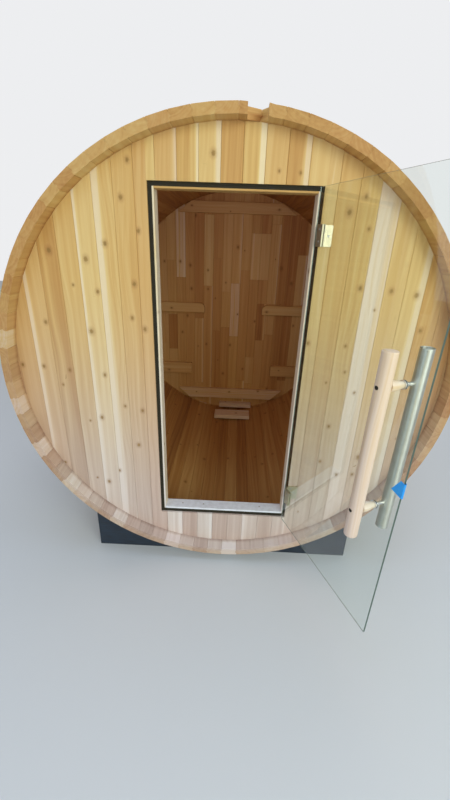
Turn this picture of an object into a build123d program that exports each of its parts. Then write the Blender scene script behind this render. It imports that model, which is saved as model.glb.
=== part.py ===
from build123d import *

import os
from math import cos, radians, sin, sqrt, tan

# Barrel sauna, millimetres, +Z up. The round front faces -Y and the barrel's
# axis lies along Y. The origin is on the floor, at the middle of the underside
# of the front cradle. The glass door stands open, as the real one does at rest.

# Barrel of staves
barrel_radius = 1065.0          # to the outer corners of the staves
stave_thickness = 38.0
stave_length = 2134.0
stave_count = 78
staves_in_group = 6
stave_seam = 0.3                # gap between neighbouring staves
bead_radius = 7.0               # rounded tongue along one edge of a stave
bead_sink = 2.0                 # how far the bead's centre lies inside the edge
wall_overhang = 76.0            # staves reach this far past each end wall
croze_depth = 12.0              # groove in the staves that holds an end wall
seat_clearance = 0.3
notch_width = 76.0              # cut in the front rim, right of the top
notch_centre_x = 70.0

# End walls and the doorway
wall_thickness = 38.0
doorway_width = 717.0
doorway_corner_gap = 117.0      # from the doorway's lower corners to the staves
doorway_offset = 6.5            # the doorway's centre lies this far below the axis
jamb_thickness = 25.0
jamb_depth = 70.0
rebate_depth = 14.0             # from the wall's face back to the jamb's front edge
seal_width = 17.0
seal_thickness = 4.0
threshold_plate_thickness = 3.0

# Glass door
door_angle = 112.0              # the leaf is open this far at rest
glass_thickness = 8.0
leaf_side_gap = 10.0
leaf_end_gap = 6.0
leaf_recess = 1.0               # the closed glass lies this far behind the wall's face

# Hinges
hinge_end_gap = 180.0           # from each end of the doorway to the middle of a hinge
hinge_height = 82.0
hinge_axis_inset = 9.0          # the pin lies this far inside the doorway's edge
hinge_axis_stand_off = 9.0      # and this far in front of the wall
knuckle_diameter = 14.0
pin_diameter = 6.0
pin_clearance = 0.1
knuckle_end_gap = 0.5
leaf_swing_gap = 1.5            # between a knuckle and the other half of the hinge
wall_plate_width = 60.0
wall_plate_thickness = 5.0
outer_clamp_thickness = 4.0
inner_clamp_thickness = 8.0
clamp_plate_reach = 58.0        # from the pin's axis along the glass
clamp_seal_gap = 6.0            # the inner clamp plate clears the jamb by this much

# Pull handles
handle_reach = 600.0            # from the pin's axis to the bars
handle_length = 702.0
handle_offset = 19.0            # the bars' middle lies this far below the doorway's centre
handle_bolt_spacing = 470.0
inner_bar_diameter = 50.0
inner_bar_offset = 84.0         # from the middle of the glass
outer_bar_diameter = 45.0
outer_bar_offset = 66.0
bar_edge_round = 2.0
handle_rod_diameter = 16.0
handle_hole_clearance = 1.0
handle_washer_diameter = 32.0
handle_washer_thickness = 2.0
boss_bar_diameter = 36.0
boss_glass_diameter = 24.0

# Cradles
cradle_width = 1490.0
cradle_height = 235.0
cradle_thickness = 76.0
cradle_inset = 90.0             # from the end of the staves
barrel_floor_gap = 55.0         # between the lowest stave and the floor

# Tightening bands
band_width = 30.0
band_thickness = 1.5
band_inset = 330.0              # from the end of the staves to the band's middle
band_lug_height = 34.0
band_lug_thickness = 5.0
band_lug_gap = 70.0
band_bolt_diameter = 10.0
band_bolt_height = 20.0         # above the band
band_lug_angle = 60.0           # round from the top, on the side away from the handles

# Fittings on the inside of the back wall
fitting_thickness = 38.0
batten_height = 92.0
batten_top_gap = 82.0           # from the top stave down to the batten, whose top corners meet the staves
batten_end_gap = 49.0           # from the batten's bottom corners to the staves
backrest_level = -20.0          # underside of the upper rails, from the axis
backrest_height = 90.0
backrest_inner_x = 279.0
backrest_corner_radius = 45.0
bench_bearer_gap = 162.0        # from the floor bearer up to the lower rails
bench_height = 110.0
bench_inner_x = 406.0
bearer_height = 104.0
bearer_top_width = 1078.0
bearer_bottom_width = 854.0
bearer_end_gap = 18.0           # from the bearer's bottom corners to the staves
floor_board_thickness = 38.0
front_board_width = 140.0
front_board_length = 350.0
front_board_centre_x = 30.0
front_board_gap = 210.0         # from the back wall
back_board_width = 83.0
back_board_length = 336.0
back_board_centre_x = 59.0

# Places worked out from the sizes above
axis_z = barrel_radius + barrel_floor_gap
y_front = -(cradle_inset + cradle_thickness / 2)
y_back = y_front + stave_length
y_wall = y_front + wall_overhang
y_wall_inside = y_wall + wall_thickness
y_back_wall = y_back - wall_overhang - wall_thickness
y_fitting = y_back_wall - fitting_thickness
inner_radius = barrel_radius - stave_thickness
stave_angle = 360.0 / stave_count
flat_share = cos(radians(stave_angle / 2))      # middle of a flat stave, against its corners
inner_flat = inner_radius * flat_share
wall_radius = inner_flat + croze_depth - seat_clearance
fitting_radius = inner_flat - seat_clearance
bearer_level = -sqrt((fitting_radius - bearer_end_gap) ** 2 - (bearer_bottom_width / 2) ** 2)
bench_level = bearer_level + bearer_height + bench_bearer_gap
door_x = doorway_width / 2
doorway_corner_level = sqrt((inner_radius - doorway_corner_gap) ** 2 - door_x ** 2)
doorway_height = 2 * (doorway_corner_level - doorway_offset)
doorway_z = axis_z - doorway_offset
door_top = doorway_z + doorway_height / 2
door_bottom = doorway_z - doorway_height / 2
hinge_x = door_x - hinge_axis_inset
hinge_y = y_wall - hinge_axis_stand_off
hinge_levels = (door_bottom + hinge_end_gap, door_top - hinge_end_gap)
leaf_width = doorway_width - 2 * leaf_side_gap
glass_y = y_wall + leaf_recess + glass_thickness / 2
handle_z = doorway_z - handle_offset
handle_levels = (handle_z - handle_bolt_spacing / 2, handle_z + handle_bolt_spacing / 2)
handle_x = hinge_x - handle_reach


def block(x0, x1, y0, y1, z0, z1):
    """A box between two corners."""
    return Pos((x0 + x1) / 2, (y0 + y1) / 2, (z0 + z1) / 2) * Box(x1 - x0, y1 - y0, z1 - z0)


def rod(radius, start, end):
    """A round bar from one point to another."""
    line = Vector(*end) - Vector(*start)
    plane = Plane(origin=start, z_dir=line)
    return extrude(plane * Circle(radius), line.length)


def upright(outline, y0, y1):
    """Extrude an outline drawn in X and Z, about the barrel's axis, from y0 to y1."""
    plane = Plane(origin=(0, y0, axis_z), x_dir=(1, 0, 0), z_dir=(0, -1, 0))
    return extrude(plane * outline, -(y1 - y0))


def save(name, *solids):
    """Write the solids of one node."""
    flat = [solid for shape in solids for solid in shape.solids()]
    shape = flat[0] if len(flat) == 1 else Compound(children=flat)
    export_step(shape, f"parts/{name}.step")


def open_door(shape):
    """Turn a piece of the door from closed to its place at rest."""
    swing = Axis((hinge_x, hinge_y, 0), (0, 0, 1))
    return shape.rotate(swing, door_angle)


# Staves

def make_stave():
    """One stave at the top of the barrel, with a croze near each end for the walls."""
    half = radians(stave_angle / 2)
    side = stave_seam / 2 / flat_share
    outer_flat = barrel_radius * flat_share
    outer_x = outer_flat * tan(half) - side
    inner_x = inner_flat * tan(half) - side
    middle_z = (outer_flat + inner_flat) / 2
    bead_x = middle_z * tan(half) - side - bead_sink
    body = make_face(Polyline(
        (-outer_x, outer_flat), (outer_x, outer_flat), (inner_x, inner_flat), (-inner_x, inner_flat),
        close=True))
    bead = Pos(bead_x, middle_z) * Circle(bead_radius)
    neighbour = Rot(0, 0, stave_angle) * Pos(bead_x, middle_z) * Circle(bead_radius + stave_seam)
    stave = upright(body + bead - neighbour, y_front, y_back)
    croze_z = axis_z + inner_flat + croze_depth
    for y0 in (y_wall, y_back_wall):
        groove = block(-barrel_radius, barrel_radius, y0, y0 + wall_thickness, axis_z, croze_z)
        stave -= groove
    return stave


def notched(stave):
    """The stave, with the rim's notch cut from it where the notch reaches it."""
    left = notch_centre_x - notch_width / 2
    right = notch_centre_x + notch_width / 2
    extent = stave.bounding_box()
    if extent.max.X < left or extent.min.X > right or extent.max.Z < axis_z:
        return stave
    return stave - block(left, right, y_front, y_wall, axis_z, axis_z + barrel_radius)


def stave_groups():
    """The staves, turned round the axis and gathered in groups, the first group on top."""
    stave = make_stave()
    axis = Axis((0, 0, axis_z), (0, 1, 0))
    first_turn = -stave_angle * (staves_in_group - 1) / 2
    for group in range(stave_count // staves_in_group):
        turns = [first_turn + stave_angle * (group * staves_in_group + place)
                 for place in range(staves_in_group)]
        save(f"staves_{group + 1:02d}", *[notched(stave.rotate(axis, turn)) for turn in turns])


# End walls

def end_walls():
    """The round back wall, and the front wall in four pieces round the doorway."""
    disc = Circle(wall_radius)
    save("back_wall", upright(disc, y_back_wall, y_back_wall + wall_thickness))
    wide = 2 * wall_radius
    top = door_top - axis_z
    bottom = door_bottom - axis_z
    left = disc & (Pos(-door_x - wide / 2, 0) * Rectangle(wide, wide))
    right = disc & (Pos(door_x + wide / 2, 0) * Rectangle(wide, wide))
    over = disc & (Pos(0, top + wide / 2) * Rectangle(doorway_width, wide))
    under = disc & (Pos(0, bottom - wide / 2) * Rectangle(doorway_width, wide))
    save("front_wall_left", upright(left, y_wall, y_wall_inside))
    save("front_wall_right", upright(right, y_wall, y_wall_inside))
    save("front_wall_over_door", upright(over, y_wall, y_wall_inside))
    save("front_wall_under_door", upright(under, y_wall, y_wall_inside))


# Door frame

def door_frame():
    """Jambs, head and sill in the doorway, the seal on their front edges and the sill's plate."""
    y0 = y_wall + rebate_depth
    y1 = y0 + jamb_depth
    inside = door_x - jamb_thickness
    save("door_jamb_left", block(-door_x, -inside, y0, y1, door_bottom, door_top))
    save("door_jamb_right", block(inside, door_x, y0, y1, door_bottom, door_top))
    save("door_head", block(-inside, inside, y0, y1, door_top - jamb_thickness, door_top))
    sill_top = door_bottom + jamb_thickness
    save("door_sill", block(-inside, inside, y0, y1, door_bottom, sill_top))
    plate_top = sill_top + threshold_plate_thickness
    save("threshold_plate", block(-inside, inside, y0, y1, sill_top, plate_top))
    ring = Rectangle(doorway_width, doorway_height)
    ring -= Rectangle(doorway_width - 2 * seal_width, doorway_height - 2 * seal_width)
    save("door_seal", upright(Pos(0, -doorway_offset) * ring, y0 - seal_thickness, y0))


# Hinges

def hinge_wall_plate(level):
    """The half of a hinge that stays on the wall: plate, two outer knuckles and the pin."""
    low = level - hinge_height / 2
    high = level + hinge_height / 2
    third = hinge_height / 3
    radius = knuckle_diameter / 2
    clear = radius + leaf_swing_gap
    y0 = y_wall - wall_plate_thickness
    right = hinge_x + wall_plate_width
    plate = block(hinge_x, right, y0, y_wall, low, high)
    plate -= block(hinge_x - clear, hinge_x + clear, y0, y_wall, low + third, high - third)
    half = plate
    for z0 in (low, high - third):
        half += rod(radius, (hinge_x, hinge_y, z0), (hinge_x, hinge_y, z0 + third))
        half += block(hinge_x, hinge_x + radius, hinge_y, y_wall, z0, z0 + third)
    return half + rod(pin_diameter / 2, (hinge_x, hinge_y, low), (hinge_x, hinge_y, high))


def hinge_glass_clamp(level):
    """The half of a hinge that turns: middle knuckle and the two plates that grip the glass."""
    low = level - hinge_height / 2
    high = level + hinge_height / 2
    third = hinge_height / 3
    radius = knuckle_diameter / 2
    clear = radius + leaf_swing_gap
    far = hinge_x - clamp_plate_reach
    glass_front = glass_y - glass_thickness / 2
    glass_back = glass_y + glass_thickness / 2
    front = glass_front - outer_clamp_thickness
    z0 = low + third + knuckle_end_gap
    z1 = high - third - knuckle_end_gap
    clamp = block(far, hinge_x - clear, front, glass_front, low, high)
    clamp += block(hinge_x - clear, hinge_x, hinge_y, glass_front, z0, z1)
    clamp += rod(radius, (hinge_x, hinge_y, z0), (hinge_x, hinge_y, z1))
    clamp -= rod(pin_diameter / 2 + pin_clearance, (hinge_x, hinge_y, low), (hinge_x, hinge_y, high))
    near = door_x - jamb_thickness - clamp_seal_gap
    back_plate = block(far, near, glass_back, glass_back + inner_clamp_thickness, low, high)
    return clamp, back_plate


def hinges():
    """Both hinges, the turning halves in their place on the open leaf."""
    for name, level in zip(("lower", "upper"), hinge_levels):
        save(f"hinge_plate_{name}", hinge_wall_plate(level))
        clamp, back_plate = hinge_glass_clamp(level)
        save(f"hinge_clamp_{name}", open_door(clamp), open_door(back_plate))


# Door leaf and handles

def door_leaf():
    """The clear glass, drilled for the handle rods."""
    right = door_x - leaf_side_gap
    y0 = glass_y - glass_thickness / 2
    y1 = glass_y + glass_thickness / 2
    glass = block(right - leaf_width, right, y0, y1,
                  door_bottom + leaf_end_gap, door_top - leaf_end_gap)
    hole = handle_rod_diameter / 2 + handle_hole_clearance
    for level in handle_levels:
        glass -= rod(hole, (handle_x, y0 - 1, level), (handle_x, y1 + 1, level))
    save("door_glass", open_door(glass))


def handle_bar(diameter, y):
    """One upright pull bar with eased ends."""
    low = handle_z - handle_length / 2
    bar = rod(diameter / 2, (handle_x, y, low), (handle_x, y, low + handle_length))
    return chamfer(bar.edges().filter_by(GeomType.CIRCLE), bar_edge_round)


def handles():
    """A wooden bar inside and a steel bar outside, on the same two rods."""
    inner_y = glass_y + inner_bar_offset
    outer_y = glass_y - outer_bar_offset
    inner_bar = handle_bar(inner_bar_diameter, inner_y)
    outer_bar = handle_bar(outer_bar_diameter, outer_y)
    glass_front = glass_y - glass_thickness / 2
    glass_back = glass_y + glass_thickness / 2
    boss_start = glass_back + handle_washer_thickness
    for name, level in zip(("lower", "upper"), handle_levels):
        shaft = rod(handle_rod_diameter / 2, (handle_x, outer_y, level), (handle_x, boss_start, level))
        shaft += rod(handle_washer_diameter / 2, (handle_x, glass_back, level), (handle_x, boss_start, level))
        shaft += rod(handle_washer_diameter / 2, (handle_x, glass_front - handle_washer_thickness, level),
                     (handle_x, glass_front, level))
        shaft -= rod(outer_bar_diameter / 2, (handle_x, outer_y, level - handle_length),
                     (handle_x, outer_y, level + handle_length))
        foot = Plane(origin=(handle_x, boss_start, level), z_dir=(0, 1, 0))
        head = foot.offset(inner_y - boss_start)
        boss = loft([foot * Circle(boss_glass_diameter / 2), head * Circle(boss_bar_diameter / 2)])
        boss -= rod(inner_bar_diameter / 2, (handle_x, inner_y, level - handle_length),
                    (handle_x, inner_y, level + handle_length))
        save(f"handle_rod_{name}", open_door(shaft))
        save(f"handle_boss_{name}", open_door(boss))
    save("handle_inner_bar", open_door(inner_bar))
    save("handle_outer_bar", open_door(outer_bar))


# Cradles and bands

def cradle(y0):
    """A saddle cut to the round of the barrel."""
    low = -axis_z
    board = Pos(0, low + cradle_height / 2) * Rectangle(cradle_width, cradle_height)
    return upright(board - Circle(barrel_radius + seat_clearance), y0, y0 + cradle_thickness)


def band(y):
    """A steel band round the staves, drawn tight by a bolt through two lugs."""
    y0 = y - band_width / 2
    y1 = y + band_width / 2
    ring = Circle(barrel_radius + seat_clearance + band_thickness)
    ring -= Circle(barrel_radius + seat_clearance)
    strap = upright(ring, y0, y1)
    top = axis_z + barrel_radius + seat_clearance + band_thickness
    lugs = None
    for side in (-1, 1):
        near = side * band_lug_gap / 2
        far = near + side * band_lug_thickness
        lug = block(min(near, far), max(near, far), y0, y1, top - band_thickness, top + band_lug_height)
        strap += lug.rotate(Axis((0, 0, axis_z), (0, 1, 0)), -band_lug_angle)
    reach = band_lug_gap / 2 + 2 * band_lug_thickness
    level = top + band_bolt_height
    bolt = rod(band_bolt_diameter / 2, (-reach, y, level), (reach, y, level))
    return strap + bolt.rotate(Axis((0, 0, axis_z), (0, 1, 0)), -band_lug_angle)


def supports():
    """The cradles at both ends and the two bands."""
    save("cradle_front", cradle(y_front + cradle_inset))
    save("cradle_rear", cradle(y_back - cradle_inset - cradle_thickness))
    save("tightening_bands", band(y_front + band_inset), band(y_back - band_inset))


# Fittings inside

def tapered_board(bottom_width, top_width, level, height):
    """A board on edge against the back wall, its ends cut to a slope."""
    outline = make_face(Polyline(
        (-bottom_width / 2, level), (bottom_width / 2, level),
        (top_width / 2, level + height), (-top_width / 2, level + height), close=True))
    return upright(outline, y_fitting, y_back_wall)


def side_rail(side, inner_x, level, height, corner_radius):
    """A rail that runs out from near the middle to the staves, cut to their round."""
    long = inner_radius - inner_x
    outline = Pos(inner_x + long / 2, level + height / 2) * Rectangle(long, height)
    if corner_radius:
        corner = outline.vertices().sort_by(Axis.X)[:2].sort_by(Axis.Y)[-1]
        outline = fillet(corner, corner_radius)
    outline = outline & Circle(fitting_radius)
    rail = upright(outline, y_fitting, y_back_wall)
    return rail if side > 0 else mirror(rail, Plane.YZ)


def floor_board(centre_x, length, width, wall_gap):
    """A loose board that lies across the lowest staves."""
    left = centre_x - length / 2
    right = centre_x + length / 2
    y1 = y_back_wall - wall_gap
    z0 = axis_z - sqrt(fitting_radius ** 2 - max(abs(left), abs(right)) ** 2)
    return block(left, right, y1 - width, y1, z0, z0 + floor_board_thickness)


def fittings():
    """Batten, rails, bearer and loose floor boards at the back of the room."""
    batten_top = fitting_radius - batten_top_gap
    batten_level = batten_top - batten_height
    batten_top_width = 2 * sqrt(fitting_radius ** 2 - batten_top ** 2)
    batten_bottom_width = 2 * (sqrt(fitting_radius ** 2 - batten_level ** 2) - batten_end_gap)
    save("back_batten", tapered_board(batten_bottom_width, batten_top_width,
                                      batten_level, batten_height))
    save("floor_bearer", tapered_board(bearer_bottom_width, bearer_top_width,
                                       bearer_level, bearer_height))
    for name, side in (("left", -1), ("right", 1)):
        save(f"backrest_rail_{name}", side_rail(side, backrest_inner_x, backrest_level,
                                                backrest_height, backrest_corner_radius))
        save(f"bench_rail_{name}", side_rail(side, bench_inner_x, bench_level, bench_height, 0))
    front = floor_board(front_board_centre_x, front_board_length, front_board_width, front_board_gap)
    back = floor_board(back_board_centre_x, back_board_length, back_board_width, 0)
    save("floor_boards", front, back)


os.makedirs("parts", exist_ok=True)
stave_groups()
end_walls()
door_frame()
hinges()
door_leaf()
handles()
supports()
fittings()
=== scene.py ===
"""Looks of a cedar barrel sauna with an open glass door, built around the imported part."""

import logging
import math
from collections.abc import Callable, Iterator, Sequence
from dataclasses import dataclass, field
from enum import Enum
from functools import partial

import bpy
import numpy as np
from mathutils import Matrix, Vector


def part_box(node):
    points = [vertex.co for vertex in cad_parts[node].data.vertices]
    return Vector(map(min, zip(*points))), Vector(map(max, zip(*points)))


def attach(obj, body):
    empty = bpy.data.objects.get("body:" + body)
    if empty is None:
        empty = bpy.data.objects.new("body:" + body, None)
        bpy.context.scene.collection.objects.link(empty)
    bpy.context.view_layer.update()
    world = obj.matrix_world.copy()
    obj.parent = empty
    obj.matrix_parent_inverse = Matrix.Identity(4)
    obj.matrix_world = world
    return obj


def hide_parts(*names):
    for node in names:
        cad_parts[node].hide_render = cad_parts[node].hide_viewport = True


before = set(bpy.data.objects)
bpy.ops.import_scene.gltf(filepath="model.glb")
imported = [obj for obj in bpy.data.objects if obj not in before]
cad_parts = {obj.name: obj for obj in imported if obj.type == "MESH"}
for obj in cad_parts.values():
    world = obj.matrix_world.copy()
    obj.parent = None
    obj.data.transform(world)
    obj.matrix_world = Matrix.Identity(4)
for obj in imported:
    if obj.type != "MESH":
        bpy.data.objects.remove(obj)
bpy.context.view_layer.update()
LOG = logging.getLogger("barrel_sauna")

Pair = tuple[float, float]
Triple = tuple[float, float, float]
Curve = Callable[[np.ndarray], np.ndarray]
Socket = bpy.types.NodeSocket
Adder = Callable[..., Socket]
Material = bpy.types.Material


def span(node: str, axis: int) -> Pair:
    """Return how far a CAD node reaches along an axis, to the micrometre."""
    low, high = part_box(node)
    return round(low[axis], 6), round(high[axis], 6)


# Places in the frame, in metres, and angles in degrees

Y_FRONT, Y_BACK = span("staves_01", 1)
Y_WALL = span("front_wall_left", 1)[0]
Y_BACK_WALL = span("back_wall", 1)[0]
AXIS_Z = round(sum(span("back_wall", 2)) / 2, 6)
DOOR_X = span("door_jamb_right", 0)[1]
DOOR_LOW, DOOR_HIGH = span("door_jamb_right", 2)
WALL_THICK = 0.038
HAIR = 0.00001
SMOOTH_ANGLE = 40.0
OPEN_ANGLE = 112.0

# Settings that several nodes share: a colour mix, a tint, a vector's length and a smooth step. A mix
# has its factor at input 0, two numbers at 2 and 3, two colours at 6 and 7, its colour at output 2

MIX = {"data_type": "RGBA", "out": 2}
TINT = {**MIX, "blend_type": "MULTIPLY"}
LENGTH = {"operation": "LENGTH", "out": "Value"}
SMOOTH = {"interpolation_type": "SMOOTHSTEP"}

# What the wood finish reads at each point, apart from the cut

WOOD_DATA = ("grain", "board", "knot")


# Colour and node helpers


def linear(code: str) -> tuple[float, float, float, float]:
    """Turn an sRGB hex colour into linear light.

    Args:
        code: six hex digits, such as "d8b07a".

    Returns:
        Red, green, blue and an alpha of one.
    """
    srgb = [int(code[i:i + 2], 16) / 255 for i in (0, 2, 4)]
    rgb = [c / 12.92 if c <= 0.04045 else ((c + 0.055) / 1.055) ** 2.4 for c in srgb]
    return (*rgb, 1.0)


def add_node(tree: bpy.types.NodeTree, kind: str, *values: object, named: dict | None = None,
             out: int | str = 0, stops: Sequence[tuple[float, str]] = (), **settings: object) -> Socket:
    """Add a node with its settings and links.

    Args:
        tree: the node tree that gets the node.
        kind: the node's type, without the "ShaderNode" in front.
        values: for the inputs in order, a socket to link, a plain value, or None to leave it.
        named: the same for inputs given by name or index.
        out: which output to return.
        stops: colour stops of a ramp, as places and hex colours.
        settings: properties of the node itself.

    Returns:
        The chosen output socket.
    """
    node = tree.nodes.new(f"ShaderNode{kind}")
    for name, value in settings.items():
        setattr(node, name, value)
    for key, value in [*enumerate(values), *(named or {}).items()]:
        if isinstance(value, bpy.types.NodeSocket):
            tree.links.new(value, node.inputs[key])
        elif value is not None:
            node.inputs[key].default_value = value
    for place, (position, code) in enumerate(stops):
        elements = node.color_ramp.elements
        stop = elements[place] if place < 2 else elements.new(position)
        stop.position = position
        stop.color = linear(code)
    return node.outputs[out] if node.outputs else None


def new_material(name: str) -> tuple[Material, Adder]:
    """Make an empty node material.

    Args:
        name: the material's name.

    Returns:
        The material, and add_node for its cleared node tree.
    """
    material = bpy.data.materials.new(name)
    material.use_nodes = True
    material.node_tree.nodes.clear()
    return material, partial(add_node, material.node_tree)


# Finishes


@dataclass(frozen=True)
class CedarFinish:
    """Planed western red cedar, left bare: satin, warm, each board its own tone, with small tight knots.

    Its grain is worked out through the whole board, so faces, edges and ends agree. Outside and
    low down its colour is blended towards pale grey-blue tones: painted cool light from below.
    """

    name: str = "planed_red_cedar"
    tones: tuple[tuple[float, str], ...] = (
        (0.0, "8e6036"), (0.25, "bb8e50"), (0.5, "d3b06e"), (0.75, "e1c98c"), (1.0, "efe7d4"))
    pattern_shares: Triple = (0.12, 0.08, 0.34)
    sap_tone: float = 0.9
    blush: str = "dcab93"
    blush_most: float = 0.34
    knot_heart: str = "9f7f42"
    knot_rim: str = "745827"
    knot_halo: str = "a8744c"
    halo_most: float = 0.28
    knot_most: float = 0.78
    knot_bend: float = 0.85
    knot_rough_scale: float = 160.0
    knot_rough: float = 1.6
    knot_squash: Pair = (0.78, 0.36)
    knot_edge: Pair = (1.5, 0.5)
    halo_edge: Pair = (3.2, 1.0)
    flow_reach: float = 2.0
    worn_end: str = "b78f66"
    worn_most: float = 0.35
    # Painted cool light from below: the grey-blue tones, the heights over which the blend fades, its strength
    # and where it stops.
    painted_cool_tones: tuple[tuple[float, str], ...] = (
        (0.0, "857a7a"), (0.25, "a99ea1"), (0.5, "c3bcc2"), (0.75, "d7d3db"), (1.0, "e9e7ee"))
    cool_light_heights: Pair = (1.65, 0.15)
    cool_light_most: float = 0.78
    cool_light_on_staves: float = 0.75
    cool_light_from_front: Pair = (-0.015, -0.040)
    cool_light_from_back: Pair = (1.90, 1.92)
    cool_light_from_radius: Pair = (1.032, 1.048)
    ring_mm: float = 9.0
    fibre_lines: Triple = (420.0, 420.0, 9.0)
    streak_lines: Triple = (55.0, 55.0, 1.1)
    wander: float = 0.07
    wander_along: float = 1.5
    shift_lot: float = 61.7
    hue_lot: float = 57.31
    heart_lots: Pair = (7.31, 3.77)
    heart_across: Pair = (-0.07, 0.07)
    heart_behind: Pair = (0.03, 0.12)
    board_half_mm: float = 43.0
    sap_wander: float = 0.006
    sap_edge: Pair = (-0.008, 0.014)
    sap_most: float = 0.9
    roughness: float = 0.56
    rough_spread: Pair = (-0.07, 0.1)
    relief_mm: float = 0.35
    fibre_relief: float = 0.6
    knot_relief: float = -0.8

    def build(self) -> Material:
        """Make the material.

        Returns:
            The cedar material, which reads the boards' own grain, board, knot and cut attributes.
        """
        material, add = new_material(self.name)
        grain, board, knot = (add("Attribute", out="Vector", attribute_name=label) for label in WOOD_DATA)
        (across, through, along), (seed, tone, sap), (beside, beyond, size) = (
            add("SeparateXYZ", reading).node.outputs for reading in (grain, board, knot))
        cut = add("Attribute", out="Fac", attribute_name="cut")

        near, halo, flow = self._knot_field(add, grain, beside, beyond, size)
        bent = add("Math", flow, -self.knot_bend, operation="MULTIPLY")
        bent = add("Math", beside, bent, across, operation="MULTIPLY_ADD")
        ring, fibre, streak = self._grain_field(add, bent, through, along, seed)

        level = tone
        for pattern, share in zip((ring, fibre, streak), self.pattern_shares):
            level = add("Math", pattern, share, level, operation="MULTIPLY_ADD")
        level = add("Math", level, sum(self.pattern_shares) / 2, operation="SUBTRACT")
        pale = self._sapwood(add, across, sap, streak)
        level = add("Mix", named={0: pale, 2: level, 3: self.sap_tone}, data_type="FLOAT")
        colour, painted_cool_tones = (add("ValToRGB", level, stops=stops) for stops in (self.tones, self.painted_cool_tones))
        # Painted cool light: outside and low down, the colour is blended towards pale grey-blue tones.
        colour = add("Mix", named={0: self._painted_cool_light(add), 6: colour, 7: painted_cool_tones}, **MIX)

        hue = add("Math", seed, self.hue_lot, operation="MULTIPLY")
        hue = add("Math", hue, operation="FRACT")
        heart = add("Mix", named={0: fibre, 6: linear(self.knot_rim), 7: linear(self.knot_heart)}, **MIX)
        for mask, most, code in ((hue, self.blush_most, self.blush), (halo, self.halo_most, self.knot_halo)):
            share = add("Math", mask, most, operation="MULTIPLY")
            colour = add("Mix", named={0: share, 6: colour, 7: linear(code)}, **TINT)
        colour = add("Mix", named={0: near, 6: colour, 7: heart}, **MIX)
        worn = add("Math", cut, self.worn_most, operation="MULTIPLY")
        colour = add("Mix", named={0: worn, 6: colour, 7: linear(self.worn_end)}, **TINT)

        limits = (self.roughness + spread for spread in self.rough_spread)
        rough = add("MapRange", fibre, 0.2, 0.8, *limits)
        relief = add("Math", fibre, self.fibre_relief, ring, operation="MULTIPLY_ADD")
        relief = add("Math", near, self.knot_relief, relief, operation="MULTIPLY_ADD")
        normal = add("Bump", 0.7, self.relief_mm / 1000, named={"Height": relief})
        shader = add("BsdfPrincipled", named={
            "Base Color": colour, "Roughness": rough, "Normal": normal, "Specular IOR Level": 0.35})
        add("OutputMaterial", shader)
        return material

    def _painted_cool_light(self, add: Adder) -> Socket:
        """Mask where cool light from below is painted into the wood.

        It grows smoothly downwards, and only in front of the front wall's face, behind the back
        wall's, and outside the staves' inner face, where it is a quarter weaker.

        Args:
            add: adds a node.

        Returns:
            The share of painted cool light.
        """
        x, y, z = add("SeparateXYZ", add("TexCoord", out="Object")).node.outputs
        low = add("MapRange", z, *self.cool_light_heights, 0.0, self.cool_light_most, **SMOOTH)
        rise = add("Math", z, AXIS_Z, operation="SUBTRACT")
        radius = add("VectorMath", add("CombineXYZ", x, rise, 0.0), **LENGTH)
        front, back, outer = (
            add("MapRange", place, *limits, 0.0, 1.0)
            for place, limits in ((y, self.cool_light_from_front), (y, self.cool_light_from_back),
                                  (radius, self.cool_light_from_radius)))
        outside = add("Math", front, back, operation="MAXIMUM")
        outside = add("Math", outside, outer, operation="MAXIMUM")
        share = add("MapRange", outer, 0.0, 1.0, 1.0, self.cool_light_on_staves)
        outside = add("Math", outside, share, operation="MULTIPLY")
        return add("Math", low, outside, operation="MULTIPLY")

    def _knot_field(self, add: Adder, grain: Socket, beside: Socket, beyond: Socket,
                    size: Socket) -> tuple[Socket, Socket, Socket]:
        """Work out how near each point is to its knot.

        The distance is the length of the offset to the knot, a little longer along the grain and
        roughened by noise. The flow falls off as a bell round the knot, over twice its radius.

        Args:
            add: adds a node.
            grain: the place in the board.
            beside: offset to the knot across the board.
            beyond: offset to the knot along the board.
            size: the knot's radius.

        Returns:
            The knot's own mask, its wider halo and the flow of grain round it.
        """
        rough = add("TexNoise", grain, named={"Scale": self.knot_rough_scale, "Detail": 2.0})
        rough = add("Math", rough, 0.5, operation="SUBTRACT")
        rough = add("Math", rough, size, operation="MULTIPLY")
        side = add("Math", rough, self.knot_rough, beside, operation="MULTIPLY_ADD")
        lengths = []
        for sideways, squash in zip((side, beside), self.knot_squash):
            offset = add("CombineXYZ", sideways, add("Math", beyond, squash, operation="MULTIPLY"), 0.0)
            lengths.append(add("VectorMath", offset, **LENGTH))
        distance, bell = lengths
        radius = add("Math", size, 0.0001, operation="MAXIMUM")
        ratio = add("Math", distance, radius, operation="DIVIDE")
        near = add("MapRange", ratio, *self.knot_edge, 0.0, self.knot_most, **SMOOTH)
        halo = add("MapRange", ratio, *self.halo_edge, 0.0, 1.0, **SMOOTH)
        reach = add("Math", radius, self.flow_reach, operation="MULTIPLY")
        steps = (("DIVIDE", reach), ("POWER", 2.0), ("MULTIPLY", -1.0), ("EXPONENT", None))
        for operation, value in steps:
            bell = add("Math", bell, value, operation=operation)
        return near, halo, bell

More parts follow.
